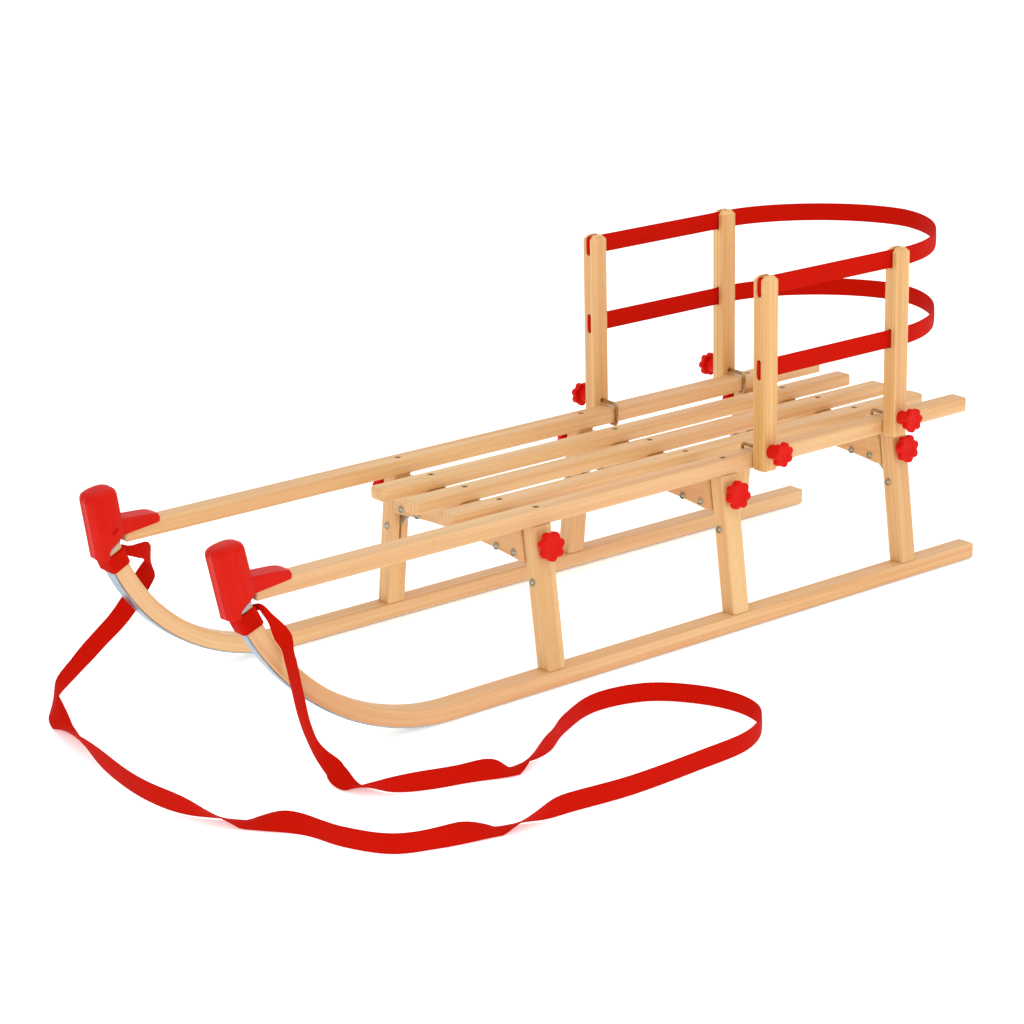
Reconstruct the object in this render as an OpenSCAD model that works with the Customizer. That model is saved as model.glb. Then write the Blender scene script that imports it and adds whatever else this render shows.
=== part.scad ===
// Three-crossbar folding wooden sled with a clamp-on webbing backrest and a pull strap.
// +X points to the front tips, +Y to the sled's left, +Z up; the runners stand on z = 0.

/* [Sled] */
// Height of the side rails' top face above the ground
rail_top = 230; // [180:1:300]
// X position of the front crossbar
front_row_x = 160; // [100:1:200]
// Distance from one crossbar to the next
row_gap = 314; // [250:1:320]
// Distance from the sled's middle to the middle of each side rail
rail_y = 145; // [130:1:200]
// Angle at which the side frames lean outward towards the ground
splay = 7.5; // [0:0.5:12]

/* [Rails and slats] */
// Width of a side rail
rail_w = 28; // [22:1:36]
// Height of a side rail
rail_h = 21; // [16:1:30]
// How far the rails reach behind the last crossbar
rail_overhang = 134; // [90:1:180]
// Width of a seat slat
slat_w = 28; // [20:1:40]
// Height of a seat slat
slat_h = 18; // [12:1:24]
// Step from the rail's top face down to the slats' top face
slat_drop = 7; // [2:1:12]
// Distance between the middles of neighbouring slats
slat_gap = 72; // [50:1:90]
// How far the slats reach in front of the first crossbar
slat_front = 88; // [50:1:120]
// How far the slats reach behind the last crossbar
slat_back = 124; // [60:1:170]
// Radius on the long edges of rails and slats
edge_r = 3; // [1:0.5:5]

/* [Crossbars] */
// Thickness of a crossbar along the sled
bar_t = 32; // [24:1:40]
// Depth of a crossbar at its ends
bar_depth = 47; // [40:1:60]
// Rise of the arch under a crossbar
bar_arch = 8; // [0:1:14]
// Gap between a crossbar's end and the leg
bar_gap = 0.5; // [0.3:0.1:1.5]

/* [Legs] */
// Width of a leg along the sled
leg_w = 29; // [24:1:36]
// Thickness of a leg across the sled
leg_t = 25; // [22:1:30]
// Radius on a leg's long edges
leg_r = 4; // [1:0.5:6]

/* [Runners] */
// Width of a runner
runner_w = 28; // [22:1:36]
// Height of a runner's wood
runner_h = 22; // [18:1:30]
// Thickness of the steel strip under a runner
steel_t = 2; // [1:0.5:3]
// Width of the steel strip
steel_w = 24; // [16:1:28]
// How far the runners reach behind the last crossbar
runner_overhang = 127; // [80:1:170]
// X position where the runners start to bend up
bend_x = 325; // [300:1:350]
// Radius of the bend at the steel's face
bend_r = 306; // [280:1:330]
// Angle through which the runners bend up
bend_angle = 74; // [66:1:76]

/* [Folding hinges] */
// Height of the hinge pins above the ground
pivot_z = 136; // [120:1:150]
// Thickness of a hinge plate
plate_t = 3; // [2:0.5:4]
// Diameter of a hinge pin and of its hole in the leg
pin_d = 5; // [4:0.5:7]
// Diameter of the rivets that hold a plate in its crossbar
rivet_d = 4.5; // [3:0.5:6]
// Diameter of the rivets' heads
rivet_head_d = 10; // [8:0.5:12]
// Radial clearance of a turning pin or screw
run_clear = 0.06; // [0.02:0.01:0.1]
// Side clearance of a hinge plate in its slot
slot_clear = 0.3; // [0.2:0.1:0.6]

/* [Knobs and screws] */
// Diameter of a star knob over its lobes
knob_d = 40; // [34:1:44]
// Number of lobes on a star knob
knob_lobes = 7; // [5:1:9]
// Thickness of a star knob's head
knob_t = 12; // [9:1:15]
// Length of the collar between a star knob and the wood
collar_l = 4; // [2:0.5:6]
// Diameter of the locking screws and of the hooks
rod_d = 6; // [5:0.5:8]
// Height of the locking screws above the ground
lock_z = 182; // [178:1:186]
// Diameter of a wood screw's head
screw_head_d = 8.5; // [6:0.5:10]
// Diameter of a wood screw's shank
screw_d = 4.4; // [3:0.2:5]
// Diameter of the dowels that hold the legs in the runners
dowel_d = 10; // [8:1:12]

/* [Backrest] */
// Size of a post along the sled
post_w = 25; // [20:1:32]
// Size of a post across the sled
post_t = 24; // [18:1:30]
// Height of the posts' lower ends above the ground
post_z0 = 208; // [206:0.5:212]
// Height of the posts' tops above the ground
post_top = 468; // [400:1:540]
// X position of the front posts
post_front_x = -205; // [-240:1:-190]
// Distance from the front to the rear posts
post_gap = 241; // [180:1:246]
// Width of the webbing
web_w = 25; // [20:1:30]
// Thickness of the webbing
web_t = 2; // [1:0.5:3]
// Height of the lower strap's lower edge above the ground
lower_web_z = 333; // [300:1:360]

/* [Nose caps] */
// Size of a cap along the sled
cap_l = 46; // [44:1:56]
// Size of a cap across the sled
cap_w = 42; // [41:1:50]
// Corner radius of a cap
cap_r = 15; // [8:1:18]
// Lean of a cap towards the front
cap_lean = 9.5; // [0:0.5:16]
// Height of a cap's lower edge above the ground
cap_z0 = 191; // [188:1:196]
// Height of a cap's top above the ground
cap_top = 288; // [270:1:300]
// Wall of a cap
cap_wall = 3; // [2:0.5:4]
// Length of the saddle behind a cap
saddle_l = 82; // [60:1:100]

/* [Hidden] */
$fn = 48;

eps = 0.01;
far = 400;
fit = 0.1;
row_x = [front_row_x, front_row_x - row_gap, front_row_x - 2 * row_gap];
rear_row_x = row_x[2];
rail_mid_z = rail_top - rail_h / 2;
rail_z0 = rail_top - rail_h;
slat_top = rail_top - slat_drop;
bar_top = slat_top - slat_h;
bar_z0 = bar_top - bar_depth;
arch_r = (pow(2 * rail_y - leg_t - 10, 2) / 4 + bar_arch * bar_arch) / (2 * max(bar_arch, 0.1));
runner_top = steel_t + runner_h;
runner_mid_z = steel_t + runner_h / 2;
runner_y = rail_y + tan(splay) * (rail_mid_z - runner_mid_z);
runner_x0 = rear_row_x - runner_overhang;
rail_x0 = rear_row_x - rail_overhang;
bend_mid_r = bend_r - runner_mid_z;

// The frame plane's own axes: leg_z runs up along the leg, leg_y outward across it
function leg_z(z, y_off = 0) = (z - rail_mid_z - y_off * sin(splay)) / cos(splay);
pivot_off = -2;
pivot_leg_z = leg_z(pivot_z, pivot_off);
pivot_y = rail_y + pivot_off * cos(splay) - pivot_leg_z * sin(splay);
lock_leg_z = leg_z(lock_z);
bar_end = leg_t / 2 + bar_gap;
function bar_end_y(z) = rail_y - (bar_end + (z - rail_mid_z) * sin(splay)) / cos(splay);

// Hinge plate outline: two rivets in the crossbar, an eye at the pin
eye_r = 7.5;
plate_rivet_z = bar_z0 + 9;
plate_rivet_y = [bar_end_y(bar_z0) - 21, bar_end_y(bar_z0) - 56];
plate_top = plate_rivet_z + 4.6;
plate_y0 = plate_rivet_y[1] - 10;

// Locking screw, its tip and the flared socket in the crossbar's end
tip_l = 4;
tip_d = 1.4;
socket_d = 10;
socket_l = 13;
socket_mouth = 4.6;

// Hook bolts over the rails
hook_z = rail_top + rod_d / 2 + 3;
hook_in_y = rail_y - rail_w / 2 - rod_d / 2 - 0.4;
hook_low_z = rail_z0 - rod_d / 2 - 0.4;
hook_bend_r = 5.5;
hook_tail = 8;
hook_thread = 12;

// Posts and their slots
post_x = [post_front_x, post_front_x - post_gap];
post_y0 = rail_y + rail_w / 2;
post_y = post_y0 + post_t / 2;
slot_w = web_t + 1.2;
upper_web_z = post_top - web_w;
web_swell = 6.3;
web_turn_x = post_x[1] - post_w / 2 - web_swell;
web_x0 = post_x[0] + post_w / 2;
web_bend_r = post_y;

// Nose caps: the axis starts at the mouth, over the runner's tip
cap_x = bend_x + sqrt(pow(bend_mid_r, 2) - pow(bend_r - cap_z0 - 6, 2)) + 2;
cap_y = rail_y + tan(splay) * (rail_mid_z - cap_z0) - 1;
cap_tilt_in = 4;
cap_h = (cap_top - cap_z0) / cos(cap_lean);
saddle_top = rail_top + 3;
saddle_x0 = cap_x - saddle_l + 7;
rail_x1 = bend_x + sqrt(pow(bend_r - runner_top, 2) - pow(bend_r - rail_z0, 2)) - 0.5;

// Strap loop round a runner, where the bend has reached loop_angle
loop_angle = 64;

// Middle line of the pull strap, from the left loop to the right loop
strap_route = [[569, 146, 183], [568, 160, 182], [567, 174, 178], [567, 186, 165], [566, 194, 145],
    [564, 198, 120], [560, 201, 85], [557, 212, 50], [554, 234, 28], [550, 256, 16], [546, 280, 13],
    [524, 318, 13], [472, 335, 13], [416, 350, 13], [356, 357, 13],
    [300, 338, 13], [250, 305, 13], [180, 277, 13], [110, 291, 13], [66, 340, 13], [48, 400, 13],
    [64, 452, 13], [120, 488, 13], [204, 496, 13], [310, 499, 13], [395, 490, 13],
    [443, 490, 13], [500, 476, 13], [560, 470, 13], [610, 449, 13], [640, 399, 13],
    [655, 341, 13], [680, 292, 13], [716, 240, 13], [733, 180, 13], [737, 110, 13],
    [725, 10, 13], [705, -90, 13], [685, -156, 13], [656, -202, 15], [622, -217, 30],
    [590, -216, 60], [562, -208, 98], [541, -197, 126], [530, -188, 152], [535, -178, 178],
    [548, -168, 191], [562, -156, 191]];
strap_thick = 5;
strap_high = 25;
strap_sides = 8;

// One side's children, or their mirror image on the other side
module side(left) {
    if (left) children();
    else mirror([0, 1, 0]) children();
}

// Places children in a leg's own frame: +Z up the leg, +Y outward across it
module on_leg(x) {
    translate([x, rail_y, rail_mid_z]) rotate([splay, 0, 0]) children();
}

// Rectangle with true round corners
module soft_square(w, h, r) {
    square([w - 2 * r, h], center = true);
    square([w, h - 2 * r], center = true);
    for (sx = [-1, 1], sy = [-1, 1])
        translate([sx * (w / 2 - r), sy * (h / 2 - r)]) circle(r, $fn = 24);
}

// Bar along X with soft long edges, from x0 to x1, its middle at y, z
module long_bar(x0, x1, y, z, w, h, r) {
    translate([x0, y, z]) rotate([90, 0, 90]) linear_extrude(x1 - x0) soft_square(w, h, r);
}

// Countersunk wood screw, head face up at z = 0
module wood_screw(length) {
    cone = (screw_head_d - screw_d) / 2;
    difference() {
        union() {
            translate([0, 0, -1]) cylinder(d = screw_head_d, h = 1);
            translate([0, 0, -1 - cone]) cylinder(d1 = screw_d, d2 = screw_head_d, h = cone);
            translate([0, 0, -length]) cylinder(d = screw_d, h = length - 1 - cone + eps);
        }
        translate([0, 0, -0.6]) cube([screw_head_d * 0.7, 1.1, 2], center = true);
        translate([0, 0, -0.6]) cube([1.1, screw_head_d * 0.7, 2], center = true);
    }
}

// The hole that wood_screw() fills, with a little room
module screw_hole(length) {
    cone = (screw_head_d - screw_d) / 2;
    translate([0, 0, -1 - fit]) cylinder(d = screw_head_d + 2 * fit, h = 3);
    translate([0, 0, -1 - cone - fit]) cylinder(d1 = screw_d + 2 * fit, d2 = screw_head_d + 2 * fit, h = cone);
    translate([0, 0, -length - 1]) cylinder(d = screw_d + 2 * fit, h = length + 1);
}

// Rivet along X through a thickness, a domed head at each end
module rivet(d, through) {
    seat = through / 2 + fit;
    half = [[d / 2, seat], [rivet_head_d / 2, seat], [rivet_head_d / 2, seat + 0.5],
        [rivet_head_d * 0.4, seat + 1.2], [rivet_head_d * 0.25, seat + 1.6], [0, seat + 1.8]];
    rotate([0, 90, 0]) rotate_extrude()
        polygon(concat(half, [for (i = [len(half) - 1 : -1 : 0]) [half[i][0], -half[i][1]]]));
}

// Slats
slat_screw_l = 44;
slat_sink = 0.6;
module slat(y) {
    color("burlywood") difference() {
        long_bar(rear_row_x - slat_back, row_x[0] + slat_front, y, slat_top - slat_h / 2, slat_w, slat_h, edge_r);
        for (x = row_x) translate([x, y, slat_top - slat_sink]) screw_hole(slat_screw_l);
    }
}
module slat_left() { slat(slat_gap); }
module slat_middle() { slat(0); }
module slat_right() { slat(-slat_gap); }
module slat_screws() {
    color("gray") for (x = row_x, y = [-slat_gap, 0, slat_gap])
        translate([x, y, slat_top - slat_sink]) wood_screw(slat_screw_l);
}

// Crossbars
module bar_profile() {
    difference() {
        polygon([[-bar_end_y(bar_top), bar_top], [-bar_end_y(bar_z0), bar_z0],
            [bar_end_y(bar_z0), bar_z0], [bar_end_y(bar_top), bar_top]]);
        translate([0, bar_z0 + bar_arch - arch_r]) circle(arch_r, $fn = 360);
    }
}
module crossbar(x) {
    color("burlywood") difference() {
        translate([x - bar_t / 2, 0, 0]) rotate([90, 0, 90]) linear_extrude(bar_t) bar_profile();
        for (y = [-slat_gap, 0, slat_gap]) translate([x, y, slat_top - slat_sink]) screw_hole(slat_screw_l);
        for (s = [0, 1]) mirror([0, s, 0]) {
            translate([x - plate_t / 2 - slot_clear, plate_y0 - 1, bar_z0 - 20])
                cube([plate_t + 2 * slot_clear, far, plate_top + 0.4 - bar_z0 + 20]);
            for (y = plate_rivet_y) translate([x, y, plate_rivet_z]) rotate([0, 90, 0])
                cylinder(d = rivet_d + 2 * fit, h = bar_t + 2, center = true);
            on_leg(x) translate([0, -bar_end - socket_l - 0.2, lock_leg_z]) rotate([-90, 0, 0])
                cylinder(d = socket_d + 2 * fit, h = socket_l + 2);
        }
    }
}
module crossbar_front() { crossbar(row_x[0]); }
module crossbar_middle() { crossbar(row_x[1]); }
module crossbar_rear() { crossbar(row_x[2]); }

// Hinge plates let into the crossbars, with their rivets
module hinge_plate(x) {
    translate([x - plate_t / 2, 0, 0]) rotate([90, 0, 90]) linear_extrude(plate_t) difference() {
        union() {
            polygon([[plate_y0, plate_top], [plate_rivet_y[0] + 7, plate_top],
                [pivot_y + eye_r * cos(42), pivot_z + eye_r * sin(42)],
                [pivot_y - eye_r * cos(42), pivot_z - eye_r * sin(42)],
                [plate_rivet_y[0] - 7, plate_rivet_z - 5], [plate_y0, plate_rivet_z - 5]]);
            translate([pivot_y, pivot_z]) circle(eye_r);
        }
        translate([pivot_y, pivot_z]) circle(pin_d / 2 + run_clear);
        for (y = plate_rivet_y) translate([y, plate_rivet_z]) circle(rivet_d / 2 + fit);
    }
}
module hinge_plates() {
    color("silver") for (x = row_x, s = [0, 1]) mirror([0, s, 0]) hinge_plate(x);
}
module crossbar_rivets() {
    color("silver") for (x = row_x, s = [0, 1], y = plate_rivet_y) mirror([0, s, 0])
        translate([x, y, plate_rivet_z]) rivet(rivet_d, bar_t);
}

// Flared steel sockets in the crossbars' ends, for the locking screws' tips
module lock_socket(x) {
    on_leg(x) translate([0, -bar_end - socket_l, lock_leg_z]) rotate([-90, 0, 0]) difference() {
        cylinder(d = socket_d, h = socket_l);
        translate([0, 0, -1]) cylinder(d = rod_d - 1, h = socket_l + 2);
        translate([0, 0, socket_l - socket_mouth]) cylinder(d1 = rod_d - 1, d2 = rod_d + 2.6, h = socket_mouth + eps);
    }
}
module lock_sockets() {
    color("silver") for (x = row_x, s = [0, 1]) mirror([0, s, 0]) lock_socket(x);
}

// Side rails
rail_screw_l = 42;
rail_sink = 1.2;
module rail() {
    color("burlywood") difference() {
        long_bar(rail_x0, rail_x1, rail_y, rail_mid_z, rail_w, rail_h, edge_r);
        for (x = row_x) translate([x, rail_y, rail_top - rail_sink]) screw_hole(rail_screw_l);
    }
}
module rail_left() { side(true) rail(); }
module rail_right() { side(false) rail(); }
module rail_screws() {
    color("dimgray") for (x = row_x) translate([x, rail_y, rail_top - rail_sink]) wood_screw(rail_screw_l);
}
module rail_screws_left() { side(true) rail_screws(); }
module rail_screws_right() { side(false) rail_screws(); }

// Legs, cut level under the rail and on the runner
dowel_depth = 14;
leg_foot_z = leg_z(runner_top);
module leg_dowel(x, room) {
    on_leg(x) translate([0, 0, leg_foot_z - dowel_depth - room])
        cylinder(d = dowel_d + 2 * room, h = dowel_depth + 24 + 2 * room);
}
module leg(x) {
    kerf_reach = 30;
    color("burlywood") difference() {
        on_leg(x) translate([0, 0, leg_foot_z - 20]) linear_extrude(far) soft_square(leg_w, leg_t, leg_r);
        translate([x - far / 2, -far, rail_z0]) cube([far, 2 * far, 2 * far]);
        translate([x - far / 2, -far, runner_top - 2 * far]) cube([far, 2 * far, 2 * far]);
        on_leg(x) {
            translate([-plate_t / 2 - slot_clear, -leg_t, pivot_leg_z - 22])
                cube([plate_t + 2 * slot_clear, leg_t + pivot_off + eye_r + 1.5, 22 + kerf_reach]);
            translate([0, pivot_off, pivot_leg_z]) rotate([0, 90, 0])
                cylinder(d = pin_d + 2 * run_clear, h = leg_w + 2, center = true);
            translate([0, 0, lock_leg_z]) rotate([90, 0, 0])
                cylinder(d = rod_d + 2 * run_clear, h = 2 * leg_t, center = true);
        }
        leg_dowel(x, fit);
        translate([x, rail_y, rail_top - rail_sink]) screw_hole(rail_screw_l);
    }
}
module leg_left_front() { side(true) leg(row_x[0]); }
module leg_left_middle() { side(true) leg(row_x[1]); }
module leg_left_rear() { side(true) leg(row_x[2]); }
module leg_right_front() { side(false) leg(row_x[0]); }
module leg_right_middle() { side(false) leg(row_x[1]); }
module leg_right_rear() { side(false) leg(row_x[2]); }
module leg_dowels() { color("tan") for (x = row_x) leg_dowel(x, 0); }
module leg_dowels_left() { side(true) leg_dowels(); }
module leg_dowels_right() { side(false) leg_dowels(); }
module hinge_pins() {
    color("silver") for (x = row_x) on_leg(x) translate([0, pivot_off, pivot_leg_z]) rivet(pin_d, leg_w);
}
module hinge_pins_left() { side(true) hinge_pins(); }
module hinge_pins_right() { side(false) hinge_pins(); }

// Runners: a straight bar, then a bend that lies in the leaning plane of the side frame
function bend_point(p) = [bend_mid_r - (p[1] * cos(splay) - p[0] * sin(splay)),
    -(p[0] * cos(splay) + p[1] * sin(splay))];
function eased_box(w, h, c, dz) = [[-w / 2 + c, -h / 2 + dz], [w / 2 - c, -h / 2 + dz],
    [w / 2, -h / 2 + c + dz], [w / 2, h / 2 - c + dz], [w / 2 - c, h / 2 + dz],
    [-w / 2 + c, h / 2 + dz], [-w / 2, h / 2 - c + dz], [-w / 2, -h / 2 + c + dz]];
module bend(outline, angle) {
    translate([bend_x, runner_y - bend_mid_r * sin(splay), runner_mid_z + bend_mid_r * cos(splay)])
        rotate([splay, 0, 0]) rotate([90, 90, 0]) rotate_extrude(angle = angle, $fn = 180)
            polygon([for (p = outline) bend_point(p)]);
}
module straight(outline, x0) {
    translate([x0, runner_y, runner_mid_z]) rotate([90, 0, 90]) linear_extrude(bend_x - x0) polygon(outline);
}
strip_screw_x = [runner_x0 + 30, rear_row_x + 157, row_x[1] + 157, bend_x - 40];
strip_screw_l = 18;
module strip_screw(hole) {
    for (x = strip_screw_x) translate([x, runner_y, 0.2]) rotate([180, 0, 0]) {
        if (hole) screw_hole(strip_screw_l);
        else wood_screw(strip_screw_l);
    }
}
module runner() {
    outline = eased_box(runner_w, runner_h, 2.5, 0);
    color("burlywood") difference() {
        union() {
            straight(outline, runner_x0);
            bend(outline, bend_angle);
        }
        strip_screw(true);
        for (x = row_x) leg_dowel(x, fit);
    }
}
module runner_left() { side(true) runner(); }
module runner_right() { side(false) runner(); }
module steel_strip() {
    outline = eased_box(steel_w, steel_t, 0.4, -(runner_h + steel_t) / 2);
    color("lightsteelblue") difference() {
        union() {
            straight(outline, runner_x0);
            bend(outline, bend_angle);
        }
        strip_screw(true);
    }
}
module steel_strip_left() { side(true) steel_strip(); }
module steel_strip_right() { side(false) steel_strip(); }
module strip_screws() { color("gray") strip_screw(false); }
module strip_screws_left() { side(true) strip_screws(); }
module strip_screws_right() { side(false) strip_screws(); }

// Nose caps: a tall hollow cap over the runner's tip, with a saddle over the rail's end
cap_crown = 7;
cap_shoulder = 2;
cap_sleeve = 10;
cap_solid = 55;
mouth_slant = 38;
saddle_crest = 15;
saddle_heel = 9;
saddle_room = 0.3;
module on_cap() {
    translate([cap_x, cap_y, cap_z0]) rotate([cap_tilt_in, cap_lean, 0]) children();
}
module cap_layer(z0, z1, inset) {
    translate([0, 0, z0]) linear_extrude(z1 - z0)
        soft_square(cap_l - 2 * inset, cap_w - 2 * inset, cap_r - inset);
}
module cap_shell() {
    on_cap() {
        cap_layer(-cap_sleeve, cap_h - cap_crown, 0);
        cap_layer(-cap_sleeve, cap_h - cap_crown * 0.6, cap_shoulder);
        cap_layer(-cap_sleeve, cap_h - cap_crown * 0.25, 2 * cap_shoulder);
        cap_layer(-cap_sleeve, cap_h, 3.5 * cap_shoulder);
    }
}
module cap_saddle() {
    width = rail_w + 2 * cap_wall;
    translate([0, rail_y + width / 2, 0]) rotate([90, 0, 0]) linear_extrude(width)
        polygon([[cap_x, saddle_top + saddle_crest], [cap_x - 18, saddle_top + saddle_crest - 2],
            [saddle_x0 + 16, saddle_top + saddle_heel], [saddle_x0 + 3, saddle_top + saddle_heel / 3],
            [saddle_x0, saddle_top - 8], [cap_x - cap_l / 2, rail_z0 + cap_wall], [cap_x, cap_z0]]);
}
module cap() {
    color("red") difference() {
        union() {
            cap_shell();
            cap_saddle();
        }
        on_cap() cap_layer(-far, cap_h - cap_solid, cap_wall + 2);
        translate([saddle_x0 - cap_sleeve, rail_y - rail_w / 2 - saddle_room, rail_top + saddle_room - far])
            cube([cap_x - saddle_x0 + cap_sleeve, rail_w + 2 * saddle_room, far]);
        translate([cap_x - 5, 0, cap_z0]) rotate([0, mouth_slant, 0])
            translate([-far, -far, -far]) cube([far, 2 * far, far]);
        translate([cap_x - far, -far, cap_z0 - far]) cube([2 * far, 2 * far, far]);
    }
}
module cap_left() { side(true) cap(); }
module cap_right() { side(false) cap(); }

// Star knobs: collar on the wood at z = 0, head outward
module star_knob(bore_l) {
    lobe_r = 6;
    difference() {
        union() {
            translate([0, 0, 0.3]) cylinder(d = 17, h = collar_l);
            translate([0, 0, collar_l]) linear_extrude(knob_t) {
                circle(knob_d / 2 - 4);
                for (i = [0 : knob_lobes - 1]) rotate(i * 360 / knob_lobes)
                    translate([knob_d / 2 - lobe_r, 0]) circle(lobe_r);
            }
        }
        translate([0, 0, -1]) cylinder(d = rod_d + 2 * run_clear, h = bore_l + 1);
    }
}
knob_grip = 10;
module leg_knob(x) {
    color("red") on_leg(x) translate([0, leg_t / 2, lock_leg_z]) rotate([-90, 0, 0]) star_knob(knob_grip);
}
module leg_knob_left_front() { side(true) leg_knob(row_x[0]); }
module leg_knob_left_middle() { side(true) leg_knob(row_x[1]); }
module leg_knob_left_rear() { side(true) leg_knob(row_x[2]); }
module leg_knob_right_front() { side(false) leg_knob(row_x[0]); }
module leg_knob_right_middle() { side(false) leg_knob(row_x[1]); }
module leg_knob_right_rear() { side(false) leg_knob(row_x[2]); }
module lock_screw(x) {
    color("silver") on_leg(x) translate([0, -bar_end - tip_l + 0.6, lock_leg_z]) rotate([-90, 0, 0]) {
        cylinder(d1 = tip_d, d2 = rod_d, h = tip_l);
        translate([0, 0, tip_l]) cylinder(d = rod_d, h = bar_end - 0.6 + leg_t / 2 + knob_grip);
    }
}
module lock_screw_left_front() { side(true) lock_screw(row_x[0]); }
module lock_screw_left_middle() { side(true) lock_screw(row_x[1]); }
module lock_screw_left_rear() { side(true) lock_screw(row_x[2]); }
module lock_screw_right_front() { side(false) lock_screw(row_x[0]); }
module lock_screw_right_middle() { side(false) lock_screw(row_x[1]); }
module lock_screw_right_rear() { side(false) lock_screw(row_x[2]); }

// Backrest posts with slots for the webbing and a hole for the hook
module post(x) {
    bevel = 4;
    color("burlywood") difference() {
        translate([x, post_y, post_z0]) linear_extrude(post_top - post_z0) soft_square(post_w, post_t, edge_r);
        translate([x - post_w, post_y - slot_w / 2, upper_web_z - slot_w / 2])
            cube([2 * post_w, slot_w, far]);
        translate([x, post_y, lower_web_z + web_w / 2]) cube([post_w + 2, slot_w, web_w + 1], center = true);
        translate([x, post_y, hook_z]) rotate([90, 0, 0]) cylinder(d = rod_d + 2 * fit, h = 2 * post_t, center = true);
        for (s = [-1, 1]) {
            translate([x, post_y + s * post_t / 2, post_top]) rotate([45, 0, 0])
                cube([far, bevel, bevel], center = true);
            translate([x + s * post_w / 2, post_y, post_top]) rotate([0, 45, 0])
                cube([bevel, far, bevel], center = true);
        }
    }
}
module post_left_front() { side(true) post(post_x[0]); }
module post_left_rear() { side(true) post(post_x[1]); }
module post_right_front() { side(false) post(post_x[0]); }
module post_right_rear() { side(false) post(post_x[1]); }

// Hook bolts: threaded end in the knob, over the rail, down its inner face, a tail under it
module hook_bolt(x) {
    module elbow() { rotate_extrude(angle = 90) translate([hook_bend_r, 0]) circle(d = rod_d); }
    down_top = hook_z - hook_bend_r;
    down_low = hook_low_z + hook_bend_r;
    translate([x, 0, 0]) {
        translate([0, hook_in_y + hook_bend_r, hook_z]) rotate([-90, 0, 0])
            cylinder(d = rod_d, h = post_y0 + post_t + hook_thread - hook_in_y - hook_bend_r);
        translate([0, hook_in_y + hook_bend_r, down_top]) rotate([90, 0, 90]) rotate(90) elbow();
        translate([0, hook_in_y, down_low]) cylinder(d = rod_d, h = down_top - down_low);
        translate([0, hook_in_y + hook_bend_r, down_low]) rotate([90, 0, 90]) rotate(180) elbow();
        translate([0, hook_in_y + hook_bend_r, hook_low_z]) rotate([-90, 0, 0]) cylinder(d = rod_d, h = hook_tail);
    }
}
module hook_bolts() { color("goldenrod") for (x = post_x) hook_bolt(x); }
module hook_bolts_left() { side(true) hook_bolts(); }
module hook_bolts_right() { side(false) hook_bolts(); }
module post_knob(x) {
    color("red") translate([x, post_y0 + post_t, hook_z]) rotate([-90, 0, 0]) star_knob(hook_thread + 1);
}
module post_knob_left_front() { side(true) post_knob(post_x[0]); }
module post_knob_left_rear() { side(true) post_knob(post_x[1]); }
module post_knob_right_front() { side(false) post_knob(post_x[0]); }
module post_knob_right_rear() { side(false) post_knob(post_x[1]); }

// Backrest straps: straight through the posts, round behind them
module backrest_strap(z) {
    color("red") translate([0, 0, z]) {
        for (s = [-1, 1]) translate([web_turn_x, s * web_bend_r - web_t / 2, 0])
            cube([web_x0 - web_turn_x, web_t, web_w]);
        translate([web_turn_x, 0, 0]) rotate(90) rotate_extrude(angle = 180, $fn = 120)
            translate([web_bend_r - web_t / 2, 0]) square([web_t, web_w]);
    }
}
module backrest_strap_upper() { backrest_strap(upper_web_z); }
module backrest_strap_lower() { backrest_strap(lower_web_z); }

// Webbing loop round a runner, where the pull strap is tied
module strap_loop() {
    slack = 0.5;
    color("red") translate([bend_x, runner_y - bend_mid_r * sin(splay), runner_mid_z + bend_mid_r * cos(splay)])
        rotate([splay, 0, 0]) rotate([0, -loop_angle, 0]) translate([0, 0, -bend_mid_r]) rotate([-splay, 0, 0])
            translate([0, 0, -steel_t / 2]) rotate([90, 0, 90]) linear_extrude(web_w, center = true) difference() {
                soft_square(runner_w + 2 * (slack + web_t), runner_h + steel_t + 2 * (slack + web_t), 3);
                soft_square(runner_w + 2 * slack, runner_h + steel_t + 2 * slack, 1);
            }
}
module strap_loop_left() { side(true) strap_loop(); }
module strap_loop_right() { side(false) strap_loop(); }

// Flat ring of points across the pull strap at route point i
function strap_way(i) = let (a = strap_route[max(i - 1, 0)], b = strap_route[min(i + 1, len(strap_route) - 1)])
    (b - a) / norm(b - a);
function strap_ring(i) = let (way = strap_way(i), flat = norm([way[0], way[1]]),
    across = [-way[1], way[0], 0] / flat, rise = cross(way, across))
    [for (k = [0 : strap_sides - 1]) let (a = (k + 0.5) * 360 / strap_sides)
        strap_route[i] + across * cos(a) * strap_thick / 2 + rise * sin(a) * strap_high / 2];
module pull_strap() {
    rings = len(strap_route);
    n = strap_sides;
    color("red") polyhedron(
        points = [for (i = [0 : rings - 1]) each strap_ring(i)],
        faces = concat([[for (k = [0 : n - 1]) k]],
            [for (i = [0 : rings - 2], k = [0 : n - 1])
                [i * n + k, (i + 1) * n + k, (i + 1) * n + (k + 1) % n, i * n + (k + 1) % n]],
            [[for (k = [n - 1 : -1 : 0]) (rings - 1) * n + k]]));
}

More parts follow.
